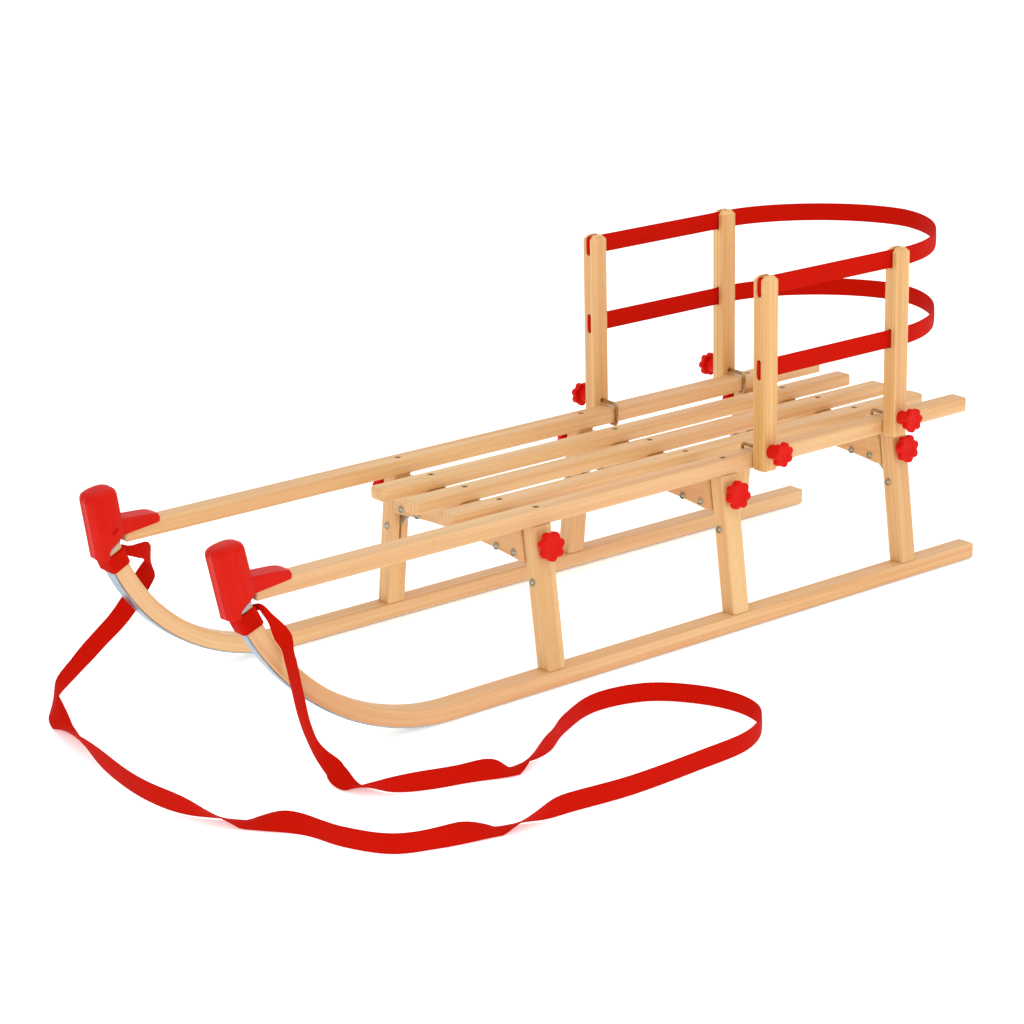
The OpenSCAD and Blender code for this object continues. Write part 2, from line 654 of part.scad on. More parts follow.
slat_left();
slat_middle();
slat_right();
crossbar_front();
crossbar_middle();
crossbar_rear();
hinge_plates();
crossbar_rivets();
slat_screws();
lock_sockets();
rail_left();
rail_right();
runner_left();
runner_right();
steel_strip_left();
steel_strip_right();
cap_left();
cap_right();
leg_left_front();
leg_left_middle();
leg_left_rear();
leg_right_front();
leg_right_middle();
leg_right_rear();
hinge_pins_left();
hinge_pins_right();
rail_screws_left();
rail_screws_right();
leg_dowels_left();
leg_dowels_right();
strip_screws_left();
strip_screws_right();
leg_knob_left_front();
leg_knob_left_middle();
leg_knob_left_rear();
leg_knob_right_front();
leg_knob_right_middle();
leg_knob_right_rear();
lock_screw_left_front();
lock_screw_left_middle();
lock_screw_left_rear();
lock_screw_right_front();
lock_screw_right_middle();
lock_screw_right_rear();
post_left_front();
post_left_rear();
post_right_front();
post_right_rear();
hook_bolts_left();
hook_bolts_right();
post_knob_left_front();
post_knob_left_rear();
post_knob_right_front();
post_knob_right_rear();
backrest_strap_upper();
backrest_strap_lower();
strap_loop_left();
strap_loop_right();
pull_strap();
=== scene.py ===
"""Looks of a folding wooden sled with a clamp-on webbing backrest, nose caps and a pull strap."""
import logging
import math
from dataclasses import dataclass, field
from enum import Enum
from typing import Iterable, Sequence

import bmesh
import bpy
import numpy as np
from mathutils import Matrix, Vector


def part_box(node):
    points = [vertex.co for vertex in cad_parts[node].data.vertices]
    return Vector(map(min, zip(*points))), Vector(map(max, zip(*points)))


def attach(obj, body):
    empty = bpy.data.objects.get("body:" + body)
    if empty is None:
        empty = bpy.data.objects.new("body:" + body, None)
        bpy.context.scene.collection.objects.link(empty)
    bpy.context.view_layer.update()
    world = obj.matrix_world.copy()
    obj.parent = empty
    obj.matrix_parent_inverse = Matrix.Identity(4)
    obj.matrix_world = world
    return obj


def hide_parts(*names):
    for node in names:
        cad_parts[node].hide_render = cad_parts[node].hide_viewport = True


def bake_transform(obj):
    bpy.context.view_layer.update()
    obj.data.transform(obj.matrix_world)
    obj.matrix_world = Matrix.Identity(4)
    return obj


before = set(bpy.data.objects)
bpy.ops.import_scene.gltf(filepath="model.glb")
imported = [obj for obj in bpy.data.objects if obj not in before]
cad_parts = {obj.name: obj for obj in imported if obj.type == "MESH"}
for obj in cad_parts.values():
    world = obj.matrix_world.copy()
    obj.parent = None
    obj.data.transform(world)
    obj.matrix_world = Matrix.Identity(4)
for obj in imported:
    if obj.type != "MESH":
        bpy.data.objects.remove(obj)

log = logging.getLogger("sled")
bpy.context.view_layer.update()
SEED_STEP = np.array([1.37, 0.41, 0.23])


class Side(Enum):
    """One side of the sled; its value is the sign of y there."""

    LEFT = 1
    RIGHT = -1

    @property
    def label(self) -> str:
        """The side's word in the names of nodes and bodies."""
        return self.name.lower()

    @property
    def body(self) -> str:
        """The body that this side's frame belongs to."""
        return f"{self.label}_side"


class Row(Enum):
    """A crossbar row; its value is the row's place along the sled, in metres."""

    FRONT = 0.160
    MIDDLE = -0.154
    REAR = -0.468

    @property
    def label(self) -> str:
        """The row's word in the names of nodes."""
        return self.name.lower()


class PostPlace(Enum):
    """A backrest post's place; its value is the post's x, in metres."""

    FRONT = -0.205
    REAR = -0.446

    @property
    def label(self) -> str:
        """The post's word in the names of nodes."""
        return self.name.lower()


@dataclass(frozen=True)
class SledSizes:
    """Driving sizes that several sub-assemblies share, in metres.

    Attributes:
        rail_top: height of the side rails' top faces.
        rail_y: distance from the middle to a rail's middle.
        rail_w: width of a rail.
        rail_h: height of a rail.
        slat_top: height of the slats' top faces.
        slat_h: height of a slat.
        slat_gap: distance between neighbouring slats' middles.
        splay: lean of the side frames, in radians.
        runner_h: height of a runner's wood.
        runner_w: width of a runner.
        steel_t: thickness of the steel under a runner.
        bend_x: where the runners start to bend.
        bend_r: radius of the bend at the steel's face.
        leg_t: thickness of a leg across the sled.
        rail_front: where the rails end, inside the nose caps.
    """

    rail_top: float = 0.230
    rail_y: float = 0.145
    rail_w: float = 0.028
    rail_h: float = 0.021
    slat_top: float = 0.223
    slat_h: float = 0.018
    slat_gap: float = 0.072
    splay: float = math.radians(7.5)
    runner_h: float = 0.022
    runner_w: float = 0.028
    steel_t: float = 0.002
    bend_x: float = 0.325
    bend_r: float = 0.306
    leg_t: float = 0.025
    rail_front: float = 0.5835

    @property
    def rail_mid(self) -> float:
        """Height of a rail's middle."""
        return self.rail_top - self.rail_h / 2

    @property
    def rail_low(self) -> float:
        """Height of a rail's underside."""
        return self.rail_top - self.rail_h

    @property
    def runner_top(self) -> float:
        """Height of a runner's top face where it is straight."""
        return self.steel_t + self.runner_h

    @property
    def runner_mid(self) -> float:
        """Height of the middle of a runner's wood."""
        return self.steel_t + self.runner_h / 2

    def leg_y(self, z: float) -> float:
        """Distance of a leg's middle from the sled's middle at height z."""
        return self.rail_y + math.tan(self.splay) * (self.rail_mid - z)

    @property
    def bend_mid_r(self) -> float:
        """Radius of the bend at the middle of the runner's wood."""
        return self.bend_r - self.runner_mid


SIZES = SledSizes()


# ---------------------------------------------------------------- mesh work


def soft_box(width: float, height: float, radius: float, steps: int = 4) -> np.ndarray:
    """Outline of a rectangle with round corners, counter-clockwise.

    Args:
        width: full width.
        height: full height.
        radius: corner radius.
        steps: segments in each corner.

    Returns:
        An array of (u, v) points.
    """
    radius = max(min(radius, width / 2 - 1e-5, height / 2 - 1e-5), 1e-5)
    points = []
    for quarter, (su, sv) in enumerate(((1, 1), (-1, 1), (-1, -1), (1, -1))):
        for step in range(steps + 1):
            angle = math.radians(90 * quarter + 90 * step / steps)
            points.append((su * (width / 2 - radius) + radius * math.cos(angle),
                           sv * (height / 2 - radius) + radius * math.sin(angle)))
    return np.array(points)


def inset(outline: np.ndarray, depth: float) -> np.ndarray:
    """Moves each point of a counter-clockwise outline inward.

    Args:
        outline: (u, v) points.
        depth: how far each edge moves.

    Returns:
        The smaller outline, with as many points.
    """
    before = outline - np.roll(outline, 1, axis=0)
    after = np.roll(outline, -1, axis=0) - outline
    unit = lambda v: v / np.maximum(np.linalg.norm(v, axis=1, keepdims=True), 1e-9)
    before, after = unit(before), unit(after)
    n1 = np.stack([-before[:, 1], before[:, 0]], 1)
    n2 = np.stack([-after[:, 1], after[:, 0]], 1)
    middle = unit(n1 + n2)
    share = np.maximum((middle * n1).sum(1, keepdims=True), 0.4)
    return outline + middle * depth / share


def circle(radius: float, count: int = 24) -> np.ndarray:
    """Outline of a circle.

    Args:
        radius: its radius.
        count: number of points.

    Returns:
        An array of (u, v) points, counter-clockwise.
    """
    angles = np.linspace(0, 2 * math.pi, count, endpoint=False)
    return np.stack([radius * np.cos(angles), radius * np.sin(angles)], 1)


def new_object(name: str, mesh: bpy.types.Mesh) -> bpy.types.Object:
    """Links a mesh into the scene as an object of that name."""
    piece = bpy.data.objects.new(name, mesh)
    bpy.context.scene.collection.objects.link(piece)
    return piece


def skin(name: str, rings: np.ndarray, grain: np.ndarray | None = None,
         side: Side = Side.LEFT, closed: bool = False) -> bpy.types.Object:
    """Makes a closed mesh over rings of points.

    Args:
        name: the new object's name.
        rings: an array of (ring, point, xyz), made for the left side.
        grain: material directions, an array of the same shape, or None.
        side: the right side mirrors the rings.
        closed: joins the last ring to the first instead of filling both ends.

    Returns:
        The new object.
    """
    rings = np.array(rings, float)
    rings[..., 1] *= side.value
    count, around = rings.shape[:2]
    faces = []
    for i in range(count if closed else count - 1):
        j = (i + 1) % count
        for k in range(around):
            n = (k + 1) % around
            faces.append((i * around + k, j * around + k, j * around + n, i * around + n))
    if not closed:
        faces.append(tuple(range(around)))
        faces.append(tuple(range((count - 1) * around, count * around))[::-1])
    mesh = bpy.data.meshes.new(name)
    mesh.from_pydata(rings.reshape(-1, 3).tolist(), [], faces)
    if grain is not None:
        write_grain(mesh, np.array(grain, float).reshape(-1, 3))
    work = bmesh.new()
    work.from_mesh(mesh)
    bmesh.ops.recalc_face_normals(work, faces=work.faces)
    work.to_mesh(mesh)
    work.free()
    return new_object(name, mesh)


def write_grain(mesh: bpy.types.Mesh, values: np.ndarray) -> None:
    """Stores where each point lies along, across and through the material."""
    layer = mesh.attributes.get("grain") or mesh.attributes.new("grain", "FLOAT_VECTOR", "POINT")
    layer.data.foreach_set("vector", values.astype(np.float32).ravel())


def lay_grain(piece: bpy.types.Object, along: Sequence[float], seed: float) -> None:
    """Lays straight grain through a piece from its points' places.

    Args:
        piece: the object.
        along: the direction of the grain.
        seed: shifts the pattern, so that no two pieces match.
    """
    a = Vector(along).normalized()
    b = a.cross(Vector((0, 0, 1)) if abs(a.z) < 0.9 else Vector((1, 0, 0))).normalized()
    c = a.cross(b)
    points = np.array([v.co for v in piece.data.vertices], float)
    basis = np.array([a, b, c]).T
    write_grain(piece.data, points @ basis + SEED_STEP * seed)


def settle(piece: bpy.types.Object) -> None:
    """Applies a piece's modifiers to its mesh."""
    graph = bpy.context.evaluated_depsgraph_get()
    mesh = bpy.data.meshes.new_from_object(piece.evaluated_get(graph))
    piece.modifiers.clear()
    piece.data = mesh


def carve(piece: bpy.types.Object, tools: Iterable[bpy.types.Object], join: bool = False) -> None:
    """Cuts tools out of a piece, or joins them to it, and removes them.

    Args:
        piece: the object that stays.
        tools: closed meshes.
        join: union instead of difference.
    """
    tools = list(tools)
    for tool in tools:
        cut = piece.modifiers.new("cut", "BOOLEAN")
        cut.object = tool
        cut.solver = "EXACT"
        cut.operation = "UNION" if join else "DIFFERENCE"
    settle(piece)
    for tool in tools:
        bpy.data.objects.remove(tool)


def polish(piece: bpy.types.Object, angle: float, weighted: bool = True) -> None:
    """Shades a piece smooth, with sharp edges above an angle and flat faces kept flat."""
    piece.data.shade_smooth()
    piece.data.set_sharp_from_angle(angle=math.radians(angle))
    if weighted:
        normals = piece.modifiers.new("normals", "WEIGHTED_NORMAL")
        normals.keep_sharp = True
        settle(piece)


def joined(name: str, pieces: Sequence[bpy.types.Object]) -> bpy.types.Object:
    """Joins several meshes into one object.

    Args:
        name: the new object's name.
        pieces: the meshes, which are used up.

    Returns:
        The object that holds them all.
    """
    work = bmesh.new()
    for piece in pieces:
        mesh = piece.data
        mesh.transform(piece.matrix_world)
        work.from_mesh(mesh)
        bpy.data.objects.remove(piece)
    mesh = bpy.data.meshes.new(name)
    work.to_mesh(mesh)
    work.free()
    return new_object(name, mesh)


def eased(length: float, ease: float, steps: int = 3) -> list[tuple[float, float]]:
    """Stations along a bar whose end edges are rounded.

    Args:
        length: the bar's length.
        ease: radius of the end edges.
        steps: rings in each rounded edge.

    Returns:
        (distance, inset) pairs from end to end.
    """
    turn = [math.radians(90 * i / steps) for i in range(steps + 1)]
    first = [(ease * (1 - math.cos(t)), ease * (1 - math.sin(t))) for t in turn]
    last = [(length - s, d) for s, d in first[::-1]]
    return first + last


def bar(name: str, outline: np.ndarray, start: Sequence[float], axes: Sequence[Sequence[float]],
        length: float, ease: float, side: Side = Side.LEFT, seed: float = 0.0) -> bpy.types.Object:
    """A straight bar with rounded end edges.

    Args:
        name: the new object's name.
        outline: the bar's section, as (u, v) points.
        start: the middle of its first end.
        axes: unit vectors along the bar, along u and along v.
        length: the bar's length.
        ease: radius of its end edges.
        side: the right side mirrors it.
        seed: shifts the grain.

    Returns:
        The new object.
    """
    origin, (a, u, v) = np.array(start, float), (np.array(x, float) for x in axes)
    rings, grain = [], []
    for s, depth in eased(length, ease):
        section = inset(outline, depth)
        rings.append(origin + a * s + section[:, :1] * u + section[:, 1:] * v)
        grain.append(np.column_stack([np.full(len(section), s), section]) + SEED_STEP * seed)
    return skin(name, np.array(rings), np.array(grain), side)


def turned(name: str, profile: Sequence[tuple[float, float]], place: Matrix, count: int = 32) -> bpy.types.Object:
    """A piece turned on a lathe about its own Z.

    Args:
        name: the new object's name.
        profile: (radius, height) points from one end to the other.
        place: where it stands.
        count: points around it.

    Returns:
        The new object.
    """
    rings = []
    for radius, height in profile:
        ring = circle(max(radius, 2e-5), count)
        rings.append(np.column_stack([ring, np.full(count, height)]))
    piece = skin(name, np.array(rings))
    piece.data.transform(place)
    return piece


def facing(point: Sequence[float], direction: Sequence[float]) -> Matrix:
    """A place at a point whose Z looks along a direction."""
    turn = Vector(direction).normalized().to_track_quat("Z", "Y").to_matrix().to_4x4()
    return Matrix.Translation(Vector(point)) @ turn


def smooth_path(points: Sequence[Sequence[float]], steps: int) -> np.ndarray:
    """A smooth curve through a list of points of any dimension.

    Args:
        points: the points, in order.
        steps: samples between two points.

    Returns:
        The curve's samples, as an array.
    """
    p = np.array(points, float)
    ends = np.vstack([2 * p[0] - p[1], p, 2 * p[-1] - p[-2]])
    out = []
    for i in range(len(p) - 1):
        p0, p1, p2, p3 = ends[i:i + 4]
        for k in range(steps):
            t = k / steps
            out.append(0.5 * (2 * p1 + (p2 - p0) * t + (2 * p0 - 5 * p1 + 4 * p2 - p3) * t * t
                              + (3 * p1 - p0 - 3 * p2 + p3) * t ** 3))
    out.append(p[-1])
    return np.array(out)


def tangents(path: np.ndarray) -> np.ndarray:
    """Unit directions along a path."""
    way = np.gradient(path, axis=0)
    return way / np.maximum(np.linalg.norm(way, axis=1, keepdims=True), 1e-9)


def lengths(path: np.ndarray) -> np.ndarray:
    """Distance along a path at each of its points."""
    return np.concatenate([[0], np.cumsum(np.linalg.norm(np.diff(path, axis=0), axis=1))])


# ---------------------------------------------------------------- finishes


class Tree:
    """A short way to build a material's node tree."""

    def __init__(self, name: str) -> None:
        """Starts an empty material with a principled shader."""
        self.material = bpy.data.materials.new(name)
        self.material.use_nodes = True
        self.nodes = self.material.node_tree.nodes
        self.links = self.material.node_tree.links
        self.shader = next(n for n in self.nodes if n.type == "BSDF_PRINCIPLED")

    def add(self, kind: str, inputs: dict | None = None, **settings: object) -> bpy.types.Node:
        """Adds a node.

        Args:
            kind: the node's type, without the ShaderNode in front.
            inputs: values or sockets by input name or number.
            settings: the node's own properties.

        Returns:
            The new node.
        """
        node = self.nodes.new("ShaderNode" + kind)
        for key, value in settings.items():
            setattr(node, key, value)
        for key, value in (inputs or {}).items():
            self.put(node.inputs[key], value)
        return node

    def put(self, socket: bpy.types.NodeSocket, value: object) -> None:
        """Links a socket into another, or sets its value."""
        if isinstance(value, bpy.types.NodeSocket):
            self.links.new(value, socket)
        else:
            socket.default_value = value

    def grain(self, stretch: Sequence[float]) -> bpy.types.NodeSocket:
        """The piece's own material directions, scaled."""
        source = self.add("Attribute", attribute_name="grain")
        return self.add("VectorMath", {0: source.outputs["Vector"], 1: stretch},
                        operation="MULTIPLY").outputs[0]

    def place(self, stretch: Sequence[float]) -> bpy.types.NodeSocket:
        """The place in the sled's own frame, scaled."""
        source = self.add("TexCoord")
        return self.add("VectorMath", {0: source.outputs["Object"], 1: stretch},
                        operation="MULTIPLY").outputs[0]

    def noise(self, vector: bpy.types.NodeSocket, scale: float = 1.0, detail: float = 2.0,
              roughness: float = 0.5) -> bpy.types.NodeSocket:
        """A noise texture's value."""
        return self.add("TexNoise", {"Vector": vector, "Scale": scale, "Detail": detail,
                                     "Roughness": roughness}).outputs["Fac"]

    def ramp(self, value: bpy.types.NodeSocket, low: float, high: float,
             bottom: float = 0.0, top: float = 1.0) -> bpy.types.NodeSocket:
        """Stretches a value from low..high to bottom..top, clamped."""
        return self.add("MapRange", {0: value, 1: low, 2: high, 3: bottom, 4: top}).outputs[0]

    def blend(self, factor: object, first: object, second: object, mode: str = "MIX") -> bpy.types.NodeSocket:
        """Mixes two colours."""
        node = self.add("Mix", data_type="RGBA", blend_type=mode)
        for socket, value in ((node.inputs[0], factor), (node.inputs[6], first), (node.inputs[7], second)):
            self.put(socket, value)
        return node.outputs[2]

    def math(self, operation: str, *values: object) -> bpy.types.NodeSocket:
        """A sum, product or other operation on numbers."""
        return self.add("Math", dict(enumerate(values)), operation=operation).outputs[0]

    def bump(self, height: bpy.types.NodeSocket, distance: float, strength: float = 1.0,
             under: bpy.types.NodeSocket | None = None) -> bpy.types.NodeSocket:
        """A bump from a height in 0..1 times a distance in metres."""
        inputs = {"Height": height, "Distance": distance, "Strength": strength}
        if under is not None:
            inputs["Normal"] = under
        return self.add("Bump", inputs).outputs[0]


Colour = tuple[float, float, float]


def rgba(colour: Colour) -> tuple[float, float, float, float]:
    """A colour with full opacity."""
    return (*colour, 1.0)


@dataclass(frozen=True)
class Beech:
    """Planed and oiled beech.

    Attributes:
        name: the material's name.
        light: colour between the grain lines.
        dark: colour of the late wood.
        fleck: colour of the short rays.
        rosy: colour of the pinkish stretches.
        ring_scale: grain zones for each metre across the piece.
        roughness: middle of the surface's roughness.
    """

    name: str
    light: Colour = (0.76, 0.50, 0.235)
    dark: Colour = (0.60, 0.285, 0.085)
    fleck: Colour = (0.36, 0.17, 0.06)
    rosy: Colour = (0.76, 0.45, 0.27)
    ring_scale: float = 60.0
    roughness: float = 0.42

    def material(self) -> bpy.types.Material:
        """Builds the wood: growth zones, fine fibres, ray flecks and pores."""
        t = Tree(self.name)
        bend = t.noise(t.grain((2.2, 9, 9)), 1.0, 2.0)
        zones = t.noise(t.grain((1.1, self.ring_scale, self.ring_scale)), 1.0, 3.0, 0.55)
        streaks = t.noise(t.grain((2.6, 210, 210)), 1.0, 2.0, 0.5)
        lines = t.add("TexWave", {"Vector": t.grain((2.4, 100, 62)), "Scale": 0.55, "Distortion": 5.0,
                                  "Detail": 2.0, "Detail Scale": 0.7}, bands_direction="Y").outputs["Fac"]
        fibre = t.noise(t.grain((26, 1500, 1500)), 1.0, 2.0, 0.6)
        flecks = t.noise(t.grain((260, 1700, 1000)), 1.0, 0.0)
        patches = t.noise(t.grain((5, 60, 60)), 1.0, 1.0)
        shade = t.math("ADD", t.ramp(zones, 0.34, 0.68, 0.0, 0.60), t.ramp(lines, 0.45, 1.0, 0.0, 0.34))
        shade = t.math("ADD", shade, t.ramp(bend, 0.3, 0.7, -0.16, 0.16))
        shade = t.math("ADD", shade, t.ramp(streaks, 0.34, 0.66, -0.14, 0.22))
        colour = t.blend(shade, rgba(self.light), rgba(self.dark))
        colour = t.blend(t.ramp(bend, 0.42, 0.72, 0.0, 0.34), colour, rgba(self.rosy))
        colour = t.blend(t.ramp(fibre, 0.35, 0.75, 0.0, 0.20), colour, rgba(self.dark))
        spots = t.math("MULTIPLY", t.ramp(flecks, 0.67, 0.74, 0.0, 0.42), t.ramp(patches, 0.48, 0.66))
        colour = t.blend(spots, colour, rgba(self.fleck))
        t.put(t.shader.inputs["Base Color"], colour)
        rough = t.math("ADD", t.ramp(fibre, 0.3, 0.7, -0.05, 0.09),
                       t.ramp(zones, 0.3, 0.7, self.roughness - 0.03, self.roughness + 0.07))
        t.put(t.shader.inputs["Roughness"], rough)
        fine = t.bump(fibre, 0.00010, 0.6)
        t.put(t.shader.inputs["Normal"], t.bump(t.ramp(flecks, 0.62, 0.74, 1.0, 0.0), 0.00012, 0.5, fine))
        t.shader.inputs["Specular IOR Level"].default_value = 0.50
        t.shader.inputs["Coat Weight"].default_value = 0.12
        t.shader.inputs["Coat Roughness"].default_value = 0.30
        return t.material


@dataclass(frozen=True)
class MouldedPlastic:
    """Red injection-moulded plastic.

    Attributes:
        name: the material's name.
        colour: its body colour.
        worn: the paler colour of scuffs.
        roughness: middle of the surface's roughness.
    """

    name: str
    colour: Colour = (0.563, 0.0056, 0.0006)
    worn: Colour = (0.70, 0.020, 0.006)
    roughness: float = 0.36

    def material(self) -> bpy.types.Material:
        """Builds the plastic: flow marks, a fine texture and faint scuffs."""
        t = Tree(self.name)
        flow = t.noise(t.place((60, 60, 25)), 1.0, 2.0)
        scuff = t.noise(t.place((420, 420, 160)), 1.0, 4.0, 0.65)
        skin_grain = t.noise(t.place((2600, 2600, 2600)), 1.0, 1.0)
        colour = t.blend(t.ramp(flow, 0.3, 0.7, 0.0, 0.25), rgba(self.colour), rgba(self.worn))
        colour = t.blend(t.ramp(scuff, 0.62, 0.8, 0.0, 0.35), colour, rgba(self.worn))
        t.put(t.shader.inputs["Base Color"], colour)
        rough = t.ramp(scuff, 0.3, 0.75, self.roughness - 0.04, self.roughness + 0.12)
        t.put(t.shader.inputs["Roughness"], rough)
        t.put(t.shader.inputs["Normal"], t.bump(skin_grain, 0.00004, 0.5))
        t.shader.inputs["Specular IOR Level"].default_value = 0.10
        t.shader.inputs["Coat Weight"].default_value = 0.0
        t.shader.inputs["Coat Roughness"].default_value = 0.25
        return t.material


@dataclass(frozen=True)
class Webbing:
    """Woven webbing, whose grain runs along the strap.

    Attributes:
        name: the material's name.
        colour: the yarn's colour.
        dark_red_and_yarn_shade: a darker red; it is painted shade down between the yarns, and also the colour of
            the darker patches and the selvedge.
        rib: distance between two weft ribs, in metres.
        cord: distance between two warp cords, in metres.
        half_width: half the strap's width, in metres.
    """

    name: str
    colour: Colour = (0.62, 0.008, 0.0003)
    # Painted shade: this darker red fills the weave down between the yarns; it also colours the darker patches
    # and the selvedge.
    dark_red_and_yarn_shade: Colour = (0.40, 0.003, 0.0003)
    rib: float = 0.0016
    cord: float = 0.0012
    half_width: float = 0.0125

    def material(self) -> bpy.types.Material:
        """Builds the weave: warp cords and weft ribs in a staggered plain weave, with painted shade in its low
        spots between the yarns, and a selvedge.
        """
        t = Tree(self.name)
        parts = t.add("SeparateXYZ", {0: t.grain((1, 1, 1))})
        along, across = parts.outputs[0], parts.outputs[1]
        turn = 2 * math.pi
        warp = t.math("SINE", t.math("MULTIPLY", across, turn / self.cord))
        weft = t.math("SINE", t.math("MULTIPLY", along, turn / self.rib))
        cell = t.math("MULTIPLY", warp, weft)
        weave = t.math("ADD", t.math("MULTIPLY", cell, 0.30), t.math("MULTIPLY", weft, 0.20))
        weave = t.math("ADD", weave, 0.5)
        fuzz = t.noise(t.grain((900, 900, 900)), 1.0, 3.0, 0.7)
        patch = t.noise(t.grain((14, 40, 40)), 1.0, 2.0)
        # Painted shade: the weave's low spots, between the yarns, take the darker red.
        colour = t.blend(t.ramp(weave, 0.1, 0.75), rgba(self.dark_red_and_yarn_shade), rgba(self.colour))
        colour = t.blend(t.ramp(patch, 0.3, 0.7, 0.0, 0.22), colour, rgba(self.dark_red_and_yarn_shade))
        edge = t.math("ABSOLUTE", across)
        selvedge = t.ramp(edge, self.half_width * 0.86, self.half_width * 0.93, 0.0, 0.35)
        colour = t.blend(selvedge, colour, rgba(self.dark_red_and_yarn_shade))
        t.put(t.shader.inputs["Base Color"], colour)
        t.put(t.shader.inputs["Roughness"], t.ramp(fuzz, 0.3, 0.7, 0.62, 0.82))
        height = t.math("ADD", weave, t.math("MULTIPLY", fuzz, 0.25))
        t.put(t.shader.inputs["Normal"], t.bump(height, 0.00028, 0.8))
        t.shader.inputs["Sheen Weight"].default_value = 0.01
        t.shader.inputs["Sheen Roughness"].default_value = 0.5
        t.shader.inputs["Specular IOR Level"].default_value = 0.03
        return t.material


@dataclass(frozen=True)
class Metal:
    """Plated or rolled steel.

    Attributes:
        name: the material's name.
        colour: its colour.
        shade: colour of the duller patches.
        stretch: how the brushing runs along x, y and z.
        roughness: middle of the surface's roughness.
    """

    name: str
    colour: Colour
    shade: Colour
    stretch: tuple[float, float, float] = (200, 1200, 1200)
    roughness: float = 0.32

    def material(self) -> bpy.types.Material:
        """Builds the metal: brushing, dull patches and fine scratches."""
        t = Tree(self.name)
        brush = t.noise(t.place(self.stretch), 1.0, 3.0, 0.6)
        patch = t.noise(t.place((90, 90, 90)), 1.0, 3.0, 0.6)
        colour = t.blend(t.ramp(patch, 0.35, 0.7, 0.0, 0.8), rgba(self.colour), rgba(self.shade))
        t.put(t.shader.inputs["Base Color"], colour)
        rough = t.ramp(brush, 0.3, 0.7, self.roughness - 0.07, self.roughness + 0.12)
        t.put(t.shader.inputs["Roughness"], rough)
        t.put(t.shader.inputs["Normal"], t.bump(brush, 0.00003, 0.5))
        t.shader.inputs["Metallic"].default_value = 1.0
        return t.material


class Finish(Enum):
    """The finishes on the sled, under the names of the record's slots."""

    BEECH_SLAT = Beech("beech_slat")
    BEECH_BAR = Beech("beech_bar", light=(0.74, 0.48, 0.20), ring_scale=46)
    BEECH_LEG = Beech("beech_leg", light=(0.74, 0.47, 0.20), dark=(0.60, 0.31, 0.10), ring_scale=70)
    BEECH_POST = Beech("beech_post", light=(0.78, 0.50, 0.18), dark=(0.60, 0.28, 0.075), ring_scale=80)
    BENT_BEECH = Beech("bent_beech", light=(0.77, 0.53, 0.27), ring_scale=52)
    CAP_PLASTIC = MouldedPlastic("cap_plastic")
    KNOB_PLASTIC = MouldedPlastic("knob_plastic", (0.62, 0.004, 0.0003), (0.66, 0.010, 0.001), 0.42)
    RED_WEBBING = Webbing("red_webbing")
    ZINC_STEEL = Metal("zinc_steel", (0.50, 0.48, 0.38), (0.26, 0.25, 0.19), roughness=0.24)
    DARK_SCREW = Metal("dark_screw", (0.16, 0.12, 0.09), (0.08, 0.06, 0.05), roughness=0.42)
    RUNNER_STEEL = Metal("runner_steel", (0.33, 0.42, 0.48), (0.20, 0.27, 0.33), (30, 1600, 1600), 0.34)
    BRASS_ROD = Metal("brass_rod", (0.50, 0.33, 0.15), (0.26, 0.15, 0.06), roughness=0.26)

    @property
    def slot(self) -> str:
        """The record's slot for this finish."""
        return self.value.name


class Workshop:
    """Makes each finish once and puts finished pieces on their bodies."""

    def __init__(self) -> None:
        """Starts with no finishes made."""
        self.made: dict[Finish, bpy.types.Material] = {}

    def material(self, finish: Finish) -> bpy.types.Material:
        """The material of a finish, built on first use."""
        if finish not in self.made:
            self.made[finish] = finish.value.material()
        return self.made[finish]

    def dress(self, piece: bpy.types.Object, finish: Finish, nodes: Sequence[str] = ()) -> bpy.types.Object:
        """Gives a piece its finish and hides the CAD nodes that it replaces.

        Args:
            piece: the new piece.
            finish: its finish.
            nodes: the CAD nodes that it replaces.

        Returns:
            The piece.
        """
        piece.data.materials.clear()
        piece.data.materials.append(self.material(finish))
        finish.slot
        if nodes:
            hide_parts(*nodes)
        return piece

    def mount(self, piece: bpy.types.Object, finish: Finish, body: str, nodes: Sequence[str] = (),
              sharp: float = 35.0, weighted: bool = True) -> bpy.types.Object:
        """Shades and dresses a piece and lets it ride on a body.

        Args:
            piece: the new piece.
            finish: its finish.
            body: the body that it moves with.
            nodes: the CAD nodes that it replaces.
            sharp: angle in degrees above which an edge stays sharp.
            weighted: keeps large faces flat.

        Returns:
            The piece.
        """
        polish(piece, sharp, weighted)
        self.dress(piece, finish, nodes)
        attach(piece, body)
        log.info("%s rides on %s in %s", piece.name, body, finish.slot)
        return piece

    def join(self, name: str, pieces: Sequence[bpy.types.Object], finish: Finish, body: str, node: str) -> None:
        """Joins small hardware into one piece and mounts it for its CAD node."""
        self.mount(joined(name, pieces), finish, body, [node])

    def keep(self, node: str, finish: Finish) -> None:
        """Gives a CAD node that stays in view its finish."""
        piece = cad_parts[node]
        piece.data.materials.clear()
        piece.data.materials.append(self.material(finish))
        log.info("%s stays, in %s", node, finish.slot)


# ---------------------------------------------------------------- studio


